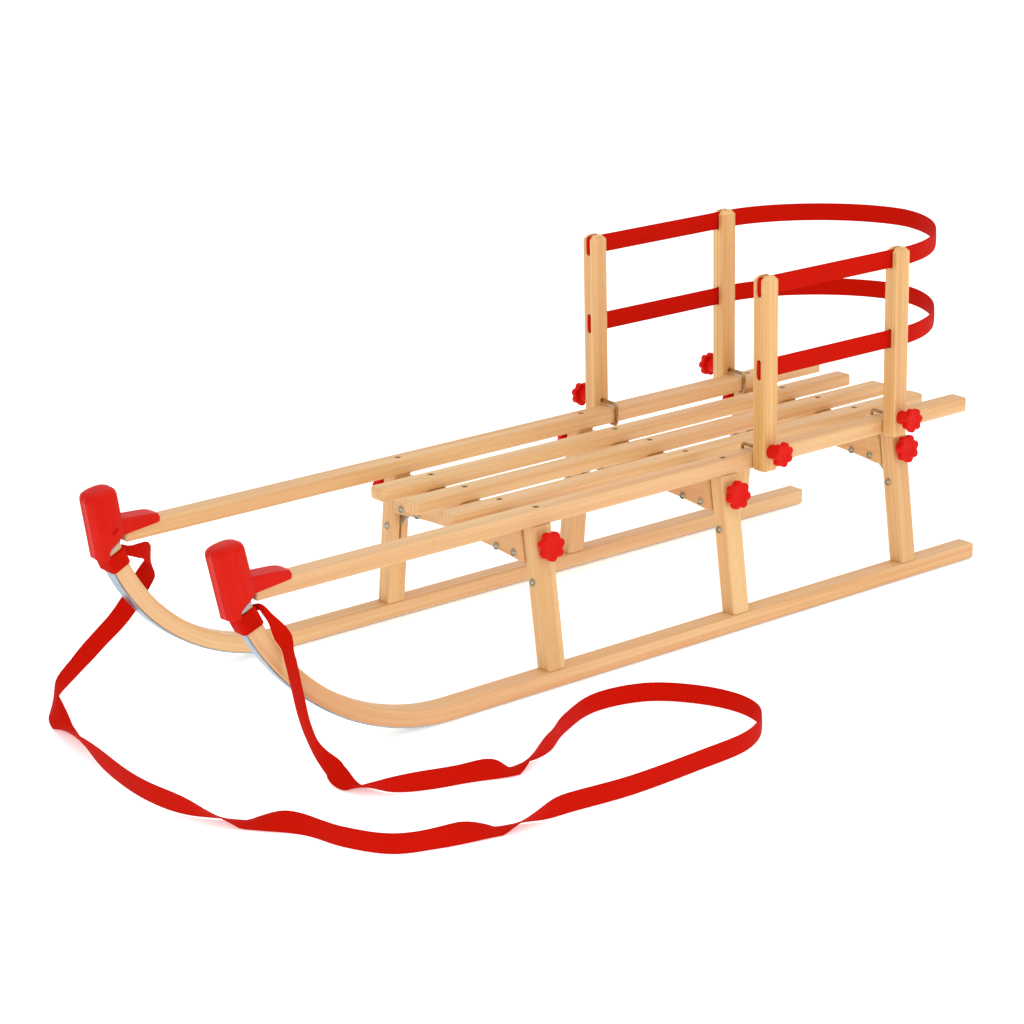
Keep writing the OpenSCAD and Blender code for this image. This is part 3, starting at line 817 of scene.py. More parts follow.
@dataclass
class Studio:
    """Camera, floor and soft light.

    Attributes:
        azimuth: the camera's turn about the sled, in degrees.
        elevation: the camera's height angle, in degrees.
        roll: the camera's roll, in degrees.
        distance: from the camera to the point that it looks at.
        target: the point that it looks at.
        lens: focal length in millimetres.
        floor_size: edge of the floor.
    """

    azimuth: float = 141.994
    elevation: float = 17.766
    roll: float = -1.307
    distance: float = 3.6562
    target: tuple[float, float, float] = (0.0840, 0.0, 0.1719)
    lens: float = 98.76
    floor_size: float = 40.0

    def camera(self) -> None:
        """Sets up the camera."""
        a, e, r = (math.radians(x) for x in (self.azimuth, self.elevation, self.roll))
        back = Vector((math.sin(a) * math.cos(e), -math.cos(a) * math.cos(e), math.sin(e)))
        right = (-back).cross(Vector((0, 0, 1))).normalized()
        up = right.cross(-back)
        across = right * math.cos(r) + up * math.sin(r)
        over = up * math.cos(r) - right * math.sin(r)
        data = bpy.data.cameras.new("camera")
        data.lens = self.lens
        data.sensor_width = 36
        data.clip_end = 100
        camera = bpy.data.objects.new("camera", data)
        bpy.context.scene.collection.objects.link(camera)
        turn = Matrix((across, over, back)).transposed().to_4x4()
        camera.matrix_world = Matrix.Translation(Vector(self.target) + back * self.distance) @ turn
        bpy.context.scene.camera = camera

    def floor(self) -> None:
        """Lays the pale floor."""
        half = self.floor_size / 2
        mesh = bpy.data.meshes.new("floor")
        corners = [(-half, -half, 0), (half, -half, 0), (half, half, 0), (-half, half, 0)]
        mesh.from_pydata(corners, [], [(0, 1, 2, 3)])
        floor = new_object("floor", mesh)
        floor.location.z = -0.0004
        t = Tree("floor")
        t.shader.inputs["Base Color"].default_value = (0.98, 0.98, 0.98, 1)
        t.shader.inputs["Emission Color"].default_value = (1, 1, 1, 1)
        t.shader.inputs["Emission Strength"].default_value = 0.40
        t.shader.inputs["Roughness"].default_value = 0.9
        t.shader.inputs["Specular IOR Level"].default_value = 0.1
        mesh.materials.append(t.material)

    def area(self, name: str, place: Sequence[float], size: float, power: float) -> None:
        """Hangs a square soft light that looks at the sled."""
        data = bpy.data.lights.new(name, "AREA")
        data.size = size
        data.energy = power
        light = bpy.data.objects.new(name, data)
        bpy.context.scene.collection.objects.link(light)
        light.matrix_world = facing(place, Vector(place) - Vector((0, 0, 0.2)))

    def light(self) -> None:
        """Hangs the lights and sets the world."""
        world = bpy.data.worlds.new("studio")
        world.use_nodes = True
        world.node_tree.nodes["Background"].inputs[0].default_value = (1, 1, 1, 1)
        world.node_tree.nodes["Background"].inputs[1].default_value = 0.86
        bpy.context.scene.world = world
        bpy.context.scene.view_settings.view_transform = "Standard"
        self.area("key_light", (2.9, 2.6, 2.4), 1.8, 24)
        self.area("fill_light", (-1.6, 3.9, 1.8), 3.0, 16)
        self.area("top_light", (-0.6, 0.2, 4.2), 3.4, 40)

    def build(self) -> None:
        """Makes the camera, the floor and the lights."""
        self.camera()
        self.floor()
        self.light()


# ---------------------------------------------------------------- straps


@dataclass
class PullStrap:
    """The pull strap and the two loops that hold it.

    Attributes:
        route: middle line from the left loop to the right loop, in metres.
        width: the webbing's width.
        thick: its thickness.
        split: the route point where the left half ends.
        turns: (route point, roll in degrees) of the band about its own line, 0 on its edge.
        necks: (route point, share of the width) where the band is gathered.
        loop_angle: where along the bend a loop sits, in radians.
        floor_z: the band lies on the ground wherever its route is lower than this.
        laid_z: height of the route there.
        lift: gap between the lying band and the ground.
        steps: samples between two route points.
    """

    route: tuple[tuple[float, float, float], ...] = (
        (0.583, 0.150, 0.200), (0.580, 0.161, 0.202), (0.575, 0.168, 0.193), (0.569, 0.174, 0.181),
        (0.562, 0.179, 0.163), (0.559, 0.185, 0.140), (0.556, 0.192, 0.103), (0.553, 0.200, 0.066),
        (0.549, 0.213, 0.038), (0.544, 0.234, 0.020), (0.541, 0.264, 0.013), (0.522, 0.310, 0.013),
        (0.472, 0.335, 0.013), (0.416, 0.350, 0.013), (0.356, 0.357, 0.013), (0.300, 0.338, 0.013),
        (0.250, 0.305, 0.013), (0.180, 0.277, 0.013), (0.110, 0.291, 0.013), (0.066, 0.340, 0.013),
        (0.048, 0.400, 0.013), (0.064, 0.452, 0.013), (0.120, 0.488, 0.013), (0.204, 0.496, 0.013),
        (0.310, 0.499, 0.013), (0.395, 0.490, 0.013), (0.443, 0.490, 0.013), (0.500, 0.476, 0.013),
        (0.560, 0.470, 0.013), (0.610, 0.449, 0.013), (0.640, 0.399, 0.013), (0.655, 0.341, 0.013),
        (0.680, 0.292, 0.013), (0.716, 0.240, 0.013), (0.733, 0.180, 0.013), (0.737, 0.110, 0.013),
        (0.725, 0.010, 0.013), (0.705, -0.090, 0.013), (0.685, -0.156, 0.013), (0.656, -0.202, 0.015),
        (0.620, -0.215, 0.033), (0.588, -0.211, 0.060), (0.563, -0.203, 0.084), (0.546, -0.193, 0.110),
        (0.535, -0.182, 0.136), (0.530, -0.173, 0.153), (0.532, -0.165, 0.170), (0.542, -0.157, 0.183),
        (0.556, -0.151, 0.188), (0.571, -0.148, 0.192), (0.583, -0.148, 0.198))
    width: float = 0.025
    thick: float = 0.0018
    split: int = 24
    turns: tuple[tuple[float, float], ...] = (
        (0, 0), (3, 0), (5, -22), (8.0, -18), (9.0, 10), (11.5, 180), (13.0, 180), (14.6, 360),
        (25.5, 360), (28.0, 540), (31.0, 540), (33.6, 360), (36.0, 360), (38.6, 540), (50, 540))
    necks: tuple[tuple[float, float], ...] = (
        (0, 0.3), (2.4, 0.42), (4.2, 1.0), (46.5, 1.0), (48, 0.75), (49, 0.5), (50, 0.4))
    loop_angle: float = math.radians(66.8)
    floor_z: float = 0.0165
    laid_z: float = 0.013
    lift: float = 0.0004
    steps: int = 9

    def band(self, name: str, first: int, last: int) -> tuple[bpy.types.Object, np.ndarray]:
        """One stretch of the strap.

        Args:
            name: the new object's name.
            first: the route point where it starts.
            last: the route point where it ends.

        Returns:
            The piece and the line that it follows.
        """
        steps = self.steps
        index = np.arange(len(self.route), dtype=float)
        line = smooth_path(self.route, steps)
        at = smooth_path(index[:, None], steps)[:, 0]
        ease = lambda pairs: np.interp(at, [p[0] for p in pairs], [p[1] for p in pairs])
        roll = np.radians(ease(self.turns))
        wide = ease(self.necks) * self.width
        kernel = np.ones(steps) / steps
        pad = lambda v: np.convolve(np.pad(v, steps // 2, mode="edge"), kernel, mode="valid")
        roll, wide = pad(roll), pad(wide)
        lies = line[:, 2] < self.floor_z
        rest = self.width / 2 * np.abs(np.cos(roll)) + self.thick / 2 * np.abs(np.sin(roll)) + self.lift
        line[:, 2] = np.where(lies, rest + np.maximum(line[:, 2] - self.laid_z, 0), line[:, 2])
        way = tangents(line)
        flat = np.column_stack([-way[:, 1], way[:, 0], np.zeros(len(way))])
        across = flat / np.maximum(np.linalg.norm(flat, axis=1, keepdims=True), 1e-6)
        rise = np.cross(way, across)
        tall = rise * np.cos(roll)[:, None] + across * np.sin(roll)[:, None]
        thin = np.cross(way, tall)
        distance = lengths(line)
        lo, hi = first * steps, last * steps + 1
        outline = soft_box(1.0, 1.0, 0.45, 3)
        rings, grain = [], []
        for i in range(lo, hi):
            u, v = outline[:, :1] * wide[i], outline[:, 1:] * self.thick
            rings.append(line[i] + tall[i] * u + thin[i] * v)
            grain.append(np.column_stack([np.full(len(outline), distance[i]), u, v]))
        return skin(name, np.array(rings), np.array(grain)), line[lo:hi]

    def loop(self, side: Side) -> bpy.types.Object:
        """The webbing loop round a runner's tip."""
        place, way, wide, high = bend_frame(self.loop_angle)
        middle = place - high * SIZES.steel_t / 2
        slack = 0.0008
        outline = soft_box(SIZES.runner_w + 2 * slack, SIZES.runner_h + SIZES.steel_t + 2 * slack, 0.0040, 6)
        rings, grain = [], []
        perimeter = lengths(np.vstack([outline, outline[:1]]))
        section = [(-0.5, 0.15), (-0.47, 1.0), (-0.2, 1.06), (0.2, 1.06),
                   (0.47, 1.0), (0.5, 0.15), (0.5, 0.0), (-0.5, 0.0)]
        for k, (u, v) in enumerate(outline):
            out = inset(outline, -1.0)[k] - outline[k]
            out = out / np.linalg.norm(out)
            ring = []
            for s, f in section:
                p = np.array([u, v]) + out * self.thick * f
                ring.append(middle + way * (s * self.width) + wide * p[0] + high * p[1])
            rings.append(ring)
            grain.append([(perimeter[k], s * self.width, 0) for s, f in section])
        return skin(f"strap_loop_band_{side.label}", np.array(rings), np.array(grain), side, closed=True)

    def build(self, shop: Workshop) -> None:
        halves = ((Side.LEFT, 0, self.split), (Side.RIGHT, self.split, len(self.route) - 1))
        for side, first, last in halves:
            piece, line = self.band(f"pull_strap_{side.label}_half", first, last)
            polish(piece, 60, weighted=False)
            shop.dress(piece, Finish.RED_WEBBING, ["pull_strap"])
            path = line if side is Side.LEFT else line[::-1]
            list(path[0])
            float(lengths(path)[-1])
            side.body
            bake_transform(piece)
            log.info("%s is %.3f m of webbing", piece.name, lengths(path)[-1])
            shop.mount(self.loop(side), Finish.RED_WEBBING, side.body, [f"strap_loop_{side.label}"],
                       sharp=50, weighted=False)


def bend_frame(angle: float) -> tuple[np.ndarray, np.ndarray, np.ndarray, np.ndarray]:
    """Place and directions of a left runner's wood at an angle of its bend.

    Args:
        angle: how far round the bend, in radians.

    Returns:
        The section's middle, then unit vectors along the runner, across it and up through it.
    """
    lean, radius = SIZES.splay, SIZES.bend_mid_r
    x = np.array([1.0, 0.0, 0.0])
    down = np.array([0.0, math.sin(lean), -math.cos(lean)])
    out = np.array([0.0, math.cos(lean), math.sin(lean)])
    foot = np.array([SIZES.bend_x, SIZES.leg_y(SIZES.runner_mid), SIZES.runner_mid])
    centre = foot - down * radius
    spoke = x * math.sin(angle) + down * math.cos(angle)
    way = x * math.cos(angle) - down * math.sin(angle)
    wide = out * math.cos(lean) + spoke * math.sin(lean)
    high = out * math.sin(lean) - spoke * math.cos(lean)
    return centre + spoke * radius, way, wide, high


@dataclass
class BackrestStraps:
    """The two webbing straps through the posts.

    Attributes:
        bottoms: height of each strap's lower edge by name.
        width: the webbing's width.
        thick: its thickness.
        fold: its thickness where its end is folded back in the front posts.
        fold_ends: where the fold swells, is full, ends and has thinned out, from the strap's end.
        reach_y: distance of the straight runs from the sled's middle.
        front_x: where the straps end, at the front posts' front faces.
        turn_x: where they start to turn behind the rear posts.
        turn_depth: how far they reach behind that.
        squareness: power of the turn's rounding, 2 for an ellipse.
    """

    bottoms: dict[str, float] = field(default_factory=lambda: {"upper": 0.443, "lower": 0.333})
    width: float = 0.025
    thick: float = 0.0020
    fold: float = 0.0066
    fold_ends: tuple[float, float, float, float] = (0.0, 0.0006, 0.008, 0.016)
    reach_y: float = 0.171
    front_x: float = -0.1922
    turn_x: float = -0.4585
    turn_depth: float = 0.1775
    squareness: float = 1.75

    def route(self) -> np.ndarray:
        """The left half's line from the front post to the middle of the back, as (x, y) points."""
        straight = [(self.front_x - t, self.reach_y) for t in (0, 0.0006, 0.004, 0.012, 0.026)]
        straight += [(x, self.reach_y) for x in np.linspace(self.front_x - 0.05, self.turn_x + 0.02, 14)]
        turn = []
        for k in range(1, 41):
            angle = math.radians(90 * k / 40)
            c, s = math.cos(angle), math.sin(angle)
            turn.append((self.turn_x - self.turn_depth * s ** (2 / self.squareness),
                         self.reach_y * max(c, 0) ** (2 / self.squareness)))
        return np.array(straight + [(self.turn_x, self.reach_y)] + turn)

    def band(self, name: str, bottom: float, side: Side) -> bpy.types.Object:
        """Half of a strap.

        Args:
            name: the new object's name.
            bottom: height of its lower edge.
            side: which half.

        Returns:
            The new object.
        """
        line = self.route()
        way = np.gradient(line, axis=0)
        way[-1] = (0, -1)
        way /= np.linalg.norm(way, axis=1, keepdims=True)
        normal = np.stack([-way[:, 1], way[:, 0]], 1)
        distance = lengths(line)
        outline = soft_box(1.0, 1.0, 0.42, 4)
        rings, grain = [], []
        for p, n, s in zip(line, normal, distance):
            thick = np.interp(s, self.fold_ends, (0.8 * self.fold, self.fold, self.fold, self.thick))
            u, v = outline[:, 0] * self.width, outline[:, 1] * thick
            rings.append(np.column_stack([p[0] + n[0] * v, p[1] + n[1] * v, bottom + self.width / 2 + u]))
            grain.append(np.column_stack([np.full(len(u), s), u, v]))
        return skin(name, np.array(rings), np.array(grain), side)

    def build(self, shop: Workshop) -> None:
        """Makes the four halves."""
        for level, bottom in self.bottoms.items():
            for side in Side:
                piece = self.band(f"backrest_strap_{level}_{side.label}", bottom, side)
                polish(piece, 60, weighted=False)
                shop.dress(piece, Finish.RED_WEBBING, [f"backrest_strap_{level}"])
                length = float(lengths(self.route())[-1])
                side.body
                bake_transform(piece)
                log.info("%s is %.3f m of webbing", piece.name, length)


# ---------------------------------------------------------------- wood


@dataclass
class ScrewHead:
    """A countersunk screw head with a cross recess, sunk in the wood.

    Attributes:
        head_d: diameter of the head.
        sink: depth of its face below the wood.
    """

    head_d: float = 0.0082
    sink: float = 0.0011

    def make(self, name: str, point: Sequence[float], out: Sequence[float], turn: float) -> bpy.types.Object:
        """One screw head with a short shank.

        Args:
            name: the new object's name.
            point: the middle of the wood's face over it.
            out: the direction that it faces.
            turn: how its cross is turned, in radians.

        Returns:
            The new object.
        """
        r = self.head_d / 2
        profile = [(0.0019, -0.014), (0.0020, -r - 0.0012), (r * 0.97, -0.0006),
                   (r, -0.0003), (r * 0.96, 0.0), (r * 0.5, 0.00012)]
        head = turned(name, profile, Matrix.Identity(4), 28)
        ends = ((-0.0022, soft_box(0.0008, 0.0016, 0.0002, 1)),
                (0.001, soft_box(0.0011, self.head_d * 0.62, 0.0003, 1)))
        rings = np.array([np.column_stack([section, np.full(len(section), z)]) for z, section in ends])
        for quarter in (0, 1):
            blade = skin("blade", rings)
            blade.data.transform(Matrix.Rotation(turn + quarter * math.pi / 2, 4, "Z"))
            carve(head, [blade])
        head.data.transform(facing(Vector(point) - Vector(out).normalized() * self.sink, out))
        return head

    def hole(self, point: Sequence[float], out: Sequence[float]) -> bpy.types.Object:
        """The tool that cuts the head's recess, with a soft rim."""
        r = self.head_d / 2
        profile = [(0.0022, -0.016), (0.0022, -r - 0.0016), (r + 0.00025, -self.sink - 0.0007),
                   (r + 0.00025, -0.0005), (r + 0.0008, 0.0002), (r + 0.0008, 0.002)]
        return turned("hole", profile, facing(point, out), 28)


@dataclass
class Seat:
    """Slats, crossbars and their hardware.

    Attributes:
        slat_w: width of a slat.
        slat_x: where the slats start and end.
        bar_t: thickness of a crossbar.
        bar_depth: depth of a crossbar at its ends.
        arch: rise of the arch under it.
        edge: radius on the slats' edges.
        bar_edge: radius on the crossbars' edges.
        plate_slot: width of the slot for a hinge plate.
        plate_y: where that slot starts and ends across the sled.
        plate_z: height of its middle.
        plate_h: height of the slot.
        rivet_r: radius of a rivet's head in the frame.
        rivet_pitch: distance between two rivets.
        end_ease: radius of the slats' end edges.
        screw: the screws through the slats.
    """

    slat_w: float = 0.028
    slat_x: tuple[float, float] = (-0.592, 0.248)
    bar_t: float = 0.032
    bar_depth: float = 0.047
    arch: float = 0.008
    edge: float = 0.0042
    bar_edge: float = 0.0022
    plate_slot: float = 0.0036
    plate_y: tuple[float, float] = (0.066, 0.200)
    plate_z: float = 0.1216
    plate_h: float = 0.10
    rivet_r: float = 0.005
    rivet_pitch: float = 0.035
    end_ease: float = 0.0040
    screw: ScrewHead = field(default_factory=ScrewHead)

    def slats(self, shop: Workshop) -> None:
        """The three slats with their screws."""
        heads = []
        places = (("left", SIZES.slat_gap), ("middle", 0.0), ("right", -SIZES.slat_gap))
        for number, (label, y) in enumerate(places):
            start = (self.slat_x[0], y, SIZES.slat_top - SIZES.slat_h / 2)
            outline = soft_box(self.slat_w, SIZES.slat_h, self.edge, 5)
            piece = bar(f"seat_slat_{label}", outline, start, ((1, 0, 0), (0, 1, 0), (0, 0, 1)),
                        self.slat_x[1] - self.slat_x[0], self.end_ease)
            for row in Row:
                point, up = (row.value, y, SIZES.slat_top), (0, 0, 1)
                carve(piece, [self.screw.hole(point, up)])
                heads.append(self.screw.make("head", point, up, 0.7 * len(heads)))
            lay_grain(piece, (1, 0, 0.004), 2.0 + number)
            shop.mount(piece, Finish.BEECH_SLAT, "seat", [f"slat_{label}"])
        shop.join("slat_screw_heads", heads, Finish.DARK_SCREW, "seat", "slat_screws")

    def bar_outline(self) -> np.ndarray:
        """A crossbar's front outline as (y, z) points, counter-clockwise."""
        top = SIZES.slat_top - SIZES.slat_h
        low = top - self.bar_depth
        gap = SIZES.leg_t / 2 + 0.0005
        sine, cosine = math.sin(SIZES.splay), math.cos(SIZES.splay)
        end = lambda z: SIZES.rail_y - (gap + (z - SIZES.rail_mid) * sine) / cosine
        span = SIZES.rail_y - SIZES.leg_t / 2 - 0.005
        radius = (span ** 2 + self.arch ** 2) / (2 * self.arch)
        corners = [(end(top), top), (-end(top), top), (-end(low), low)]
        arc = [(y, low + self.arch - radius + math.sqrt(radius ** 2 - y ** 2))
               for y in np.linspace(-span, span, 33)]
        return np.array(corners + arc + [(end(low), low)])

    def crossbars(self, shop: Workshop) -> None:
        """The three crossbars, slotted at their ends for the hinge plates."""
        outline = self.bar_outline()
        for number, row in enumerate(Row):
            rings = []
            for s, depth in eased(self.bar_t, self.bar_edge):
                section = inset(outline, depth)
                rings.append(np.column_stack([np.full(len(section), row.value - self.bar_t / 2 + s), section]))
            piece = skin(f"cross_bar_{row.label}", np.array(rings))
            slots = []
            for side in Side:
                section = soft_box(self.plate_slot, self.plate_h, 0.0002, 1)
                ends = [np.column_stack([row.value + section[:, 0], np.full(len(section), side.value * y),
                                         self.plate_z + section[:, 1]]) for y in self.plate_y]
                slots.append(skin("slot", np.array(ends)))
            carve(piece, slots)
            lay_grain(piece, (0, 1, 0.01), 9.0 + number)
            shop.mount(piece, Finish.BEECH_BAR, "seat", [f"crossbar_{row.label}"])

    def rivets(self, shop: Workshop) -> None:
        """The rivets through the crossbars and the hinge plates."""
        low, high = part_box("crossbar_rivets")
        z = (low.z + high.z) / 2
        ys = (high.y - self.rivet_r, high.y - self.rivet_r - self.rivet_pitch)
        pieces = [rivet((row.value, side.value * y, z), self.bar_t) for row in Row for side in Side for y in ys]
        shop.join("crossbar_rivet_heads", pieces, Finish.ZINC_STEEL, "seat", "crossbar_rivets")

    def build(self, shop: Workshop) -> None:
        """Makes the seat."""
        self.slats(shop)
        self.crossbars(shop)
        self.rivets(shop)
        shop.keep("hinge_plates", Finish.ZINC_STEEL)
        shop.keep("lock_sockets", Finish.ZINC_STEEL)


def rivet(point: Sequence[float], through: float) -> bpy.types.Object:
    """A tubular rivet along X with a rolled rim at each end.

    Args:
        point: its middle.
        through: thickness of the wood that it holds.

    Returns:
        The new object.
    """
    half = through / 2
    head = [(0.0052, half + 0.0001), (0.0053, half + 0.0007), (0.0050, half + 0.0013), (0.0045, half + 0.0015),
            (0.0041, half + 0.0012), (0.0037, half - 0.0002), (0.0033, half - 0.0003), (0.0030, half + 0.0006),
            (0.0023, half + 0.0014), (0.0012, half + 0.0018), (0.0004, half + 0.0019)]
    shank = [(0.0046, half - 0.0002)]
    profile = [(r, -z) for r, z in head[::-1]] + [(shank[0][0], -shank[0][1])] + shank + head
    return turned("rivet", profile, facing(point, (1, 0, 0)), 28)


@dataclass
class SideFrame:
    """A rail, its legs, the runner and its steel.

    Attributes:
        side: which side.
        rail_x: where the rail starts and ends.
        edge: radius on the rail's edges.
        end_ease: radius of its end edges.
        leg_w: width of a leg along the sled.
        leg_edge: radius on a leg's edges.
        kerf_z: height from which a leg is slotted for its hinge plate, and up to which.
        kerf_w: width of that slot.
        kerf_y: how far it goes outward past the leg's middle.
        runner_x: where the runner starts.
        runner_edge: radius on the runner's edges.
        bend: angle through which the runner bends, in radians.
        steel_w: width of the steel.
        screw: the screws through the rail.
    """

    side: Side
    rail_x: tuple[float, float] = (-0.602, SIZES.rail_front)
    edge: float = 0.003
    end_ease: float = 0.0030
    leg_w: float = 0.029
    leg_edge: float = 0.0042
    kerf_z: tuple[float, float] = (0.114, 0.166)
    kerf_w: float = 0.0036
    kerf_y: float = 0.0067
    runner_x: float = -0.595
    runner_edge: float = 0.0028
    bend: float = math.radians(74)
    steel_w: float = 0.0185
    screw: ScrewHead = field(default_factory=ScrewHead)

    def rail(self, shop: Workshop) -> None:
        """The rail with its screws."""
        start = (self.rail_x[0], SIZES.rail_y, SIZES.rail_mid)
        outline = soft_box(SIZES.rail_w, SIZES.rail_h, self.edge, 5)
        piece = bar(f"side_rail_{self.side.label}", outline, start, ((1, 0, 0), (0, 1, 0), (0, 0, 1)),
                    self.rail_x[1] - self.rail_x[0], self.end_ease, self.side)
        heads = []
        for row in Row:
            point, up = (row.value, self.side.value * SIZES.rail_y, SIZES.rail_top), (0, 0, 1)
            carve(piece, [self.screw.hole(point, up)])
            heads.append(self.screw.make("head", point, up, 0.4 + 0.9 * len(heads)))
        lay_grain(piece, (1, 0.003, 0), 5.0 + self.side.value)
        shop.mount(piece, Finish.BEECH_SLAT, self.side.body, [f"rail_{self.side.label}"])
        shop.join(f"rail_screw_heads_{self.side.label}", heads, Finish.DARK_SCREW, self.side.body,
                  f"rail_screws_{self.side.label}")

    def leg(self, row: Row, seed: float, shop: Workshop) -> None:
        """One leg, level at both ends, slotted inside for its hinge plate."""
        outline = soft_box(self.leg_w, SIZES.leg_t, self.leg_edge, 5)
        lean = math.cos(SIZES.splay)
        rings = []
        low, high = SIZES.runner_top, SIZES.rail_low
        middle = [(z, 0.0) for z in np.linspace(low + 0.01, high - 0.01, 9)]
        for z, depth in ((low, 0.0007), (low + 0.0008, 0.0), *middle, (high - 0.0008, 0.0), (high, 0.0007)):
            section = inset(outline, depth)
            rings.append(np.column_stack([row.value + section[:, 0], SIZES.leg_y(z) + section[:, 1] / lean,
                                          np.full(len(section), z)]))
        piece = skin(f"leg_post_{self.side.label}_{row.label}", np.array(rings), side=self.side)
        half, near, far = self.kerf_w / 2, -0.030, self.kerf_y
        corners = ((-half, near), (half, near), (half, far), (-half, far))
        slot = skin("kerf", np.array([[(row.value + x, SIZES.leg_y(z) + y, z) for x, y in corners]
                                      for z in self.kerf_z]), side=self.side)
        carve(piece, [slot])
        lay_grain(piece, (0, -self.side.value * math.sin(SIZES.splay), math.cos(SIZES.splay)), seed)
        shop.mount(piece, Finish.BEECH_LEG, self.side.body, [f"leg_{self.side.label}_{row.label}"])

    def sweep(self, name: str, width: float, height: float, radius: float,
              drop: float, ease: float) -> bpy.types.Object:
        """A bar along the runner's line: straight, then round the bend.

        Args:
            name: the new object's name.
            width: its width.
            height: its height.
            radius: radius on its long edges.
            drop: how far its middle lies below the middle of the runner's wood.
            ease: radius of its rear end's edges.

        Returns:
            The new object.
        """
        outline = soft_box(width, height, radius, 4)
        foot = np.array([self.runner_x, SIZES.leg_y(SIZES.runner_mid), SIZES.runner_mid - drop])
        rings, grain = [], []
        straight = SIZES.bend_x - self.runner_x
        stations = eased(straight, ease)[:4] + [(s, 0.0) for s in np.linspace(0.03, straight, 24)]
        for s, depth in stations:
            section = inset(outline, depth)
            rings.append(foot + np.column_stack([np.full(len(section), s), section]))
            grain.append(np.column_stack([np.full(len(section), s), section]))
        for angle in np.linspace(0, self.bend, 61)[1:]:
            place, _, wide, high = bend_frame(angle)
            place = place - high * drop
            rings.append(place + outline[:, :1] * wide + outline[:, 1:] * high)
            s = straight + SIZES.bend_mid_r * angle
            grain.append(np.column_stack([np.full(len(outline), s), outline]))
        seed = SEED_STEP * (30 + self.side.value)
        return skin(name, np.array(rings), np.array(grain) + seed, self.side)

    def runner(self, shop: Workshop) -> None:
        """The bent runner and the steel under it."""
        wood = self.sweep(f"runner_wood_{self.side.label}", SIZES.runner_w, SIZES.runner_h,
                          self.runner_edge, 0.0, 0.0022)
        shop.mount(wood, Finish.BENT_BEECH, self.side.body, [f"runner_{self.side.label}"])
        drop = (SIZES.runner_h + SIZES.steel_t) / 2
        steel = self.sweep(f"runner_steel_{self.side.label}", self.steel_w, SIZES.steel_t,
                           0.0005, drop, 0.0005)
        shop.mount(steel, Finish.RUNNER_STEEL, self.side.body, [f"steel_strip_{self.side.label}"])

    def pins(self, shop: Workshop) -> None:
        """The hinge pins' heads on the legs."""
        low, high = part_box(f"hinge_pins_{self.side.label}")
        y, z = (low.y + high.y) / 2, (low.z + high.z) / 2
        pins = [rivet((row.value, y, z), self.leg_w) for row in Row]
        shop.join(f"hinge_pin_heads_{self.side.label}", pins, Finish.ZINC_STEEL, self.side.body,
                  f"hinge_pins_{self.side.label}")

    def build(self, shop: Workshop) -> None:
        """Makes the side frame."""
        self.rail(shop)
        for number, row in enumerate(Row):
            self.leg(row, 15.0 + 3 * number + self.side.value, shop)
        self.runner(shop)
        self.pins(shop)
        shop.keep(f"leg_dowels_{self.side.label}", Finish.BEECH_BAR)
        shop.keep(f"strip_screws_{self.side.label}", Finish.ZINC_STEEL)


# ---------------------------------------------------------------- plastic


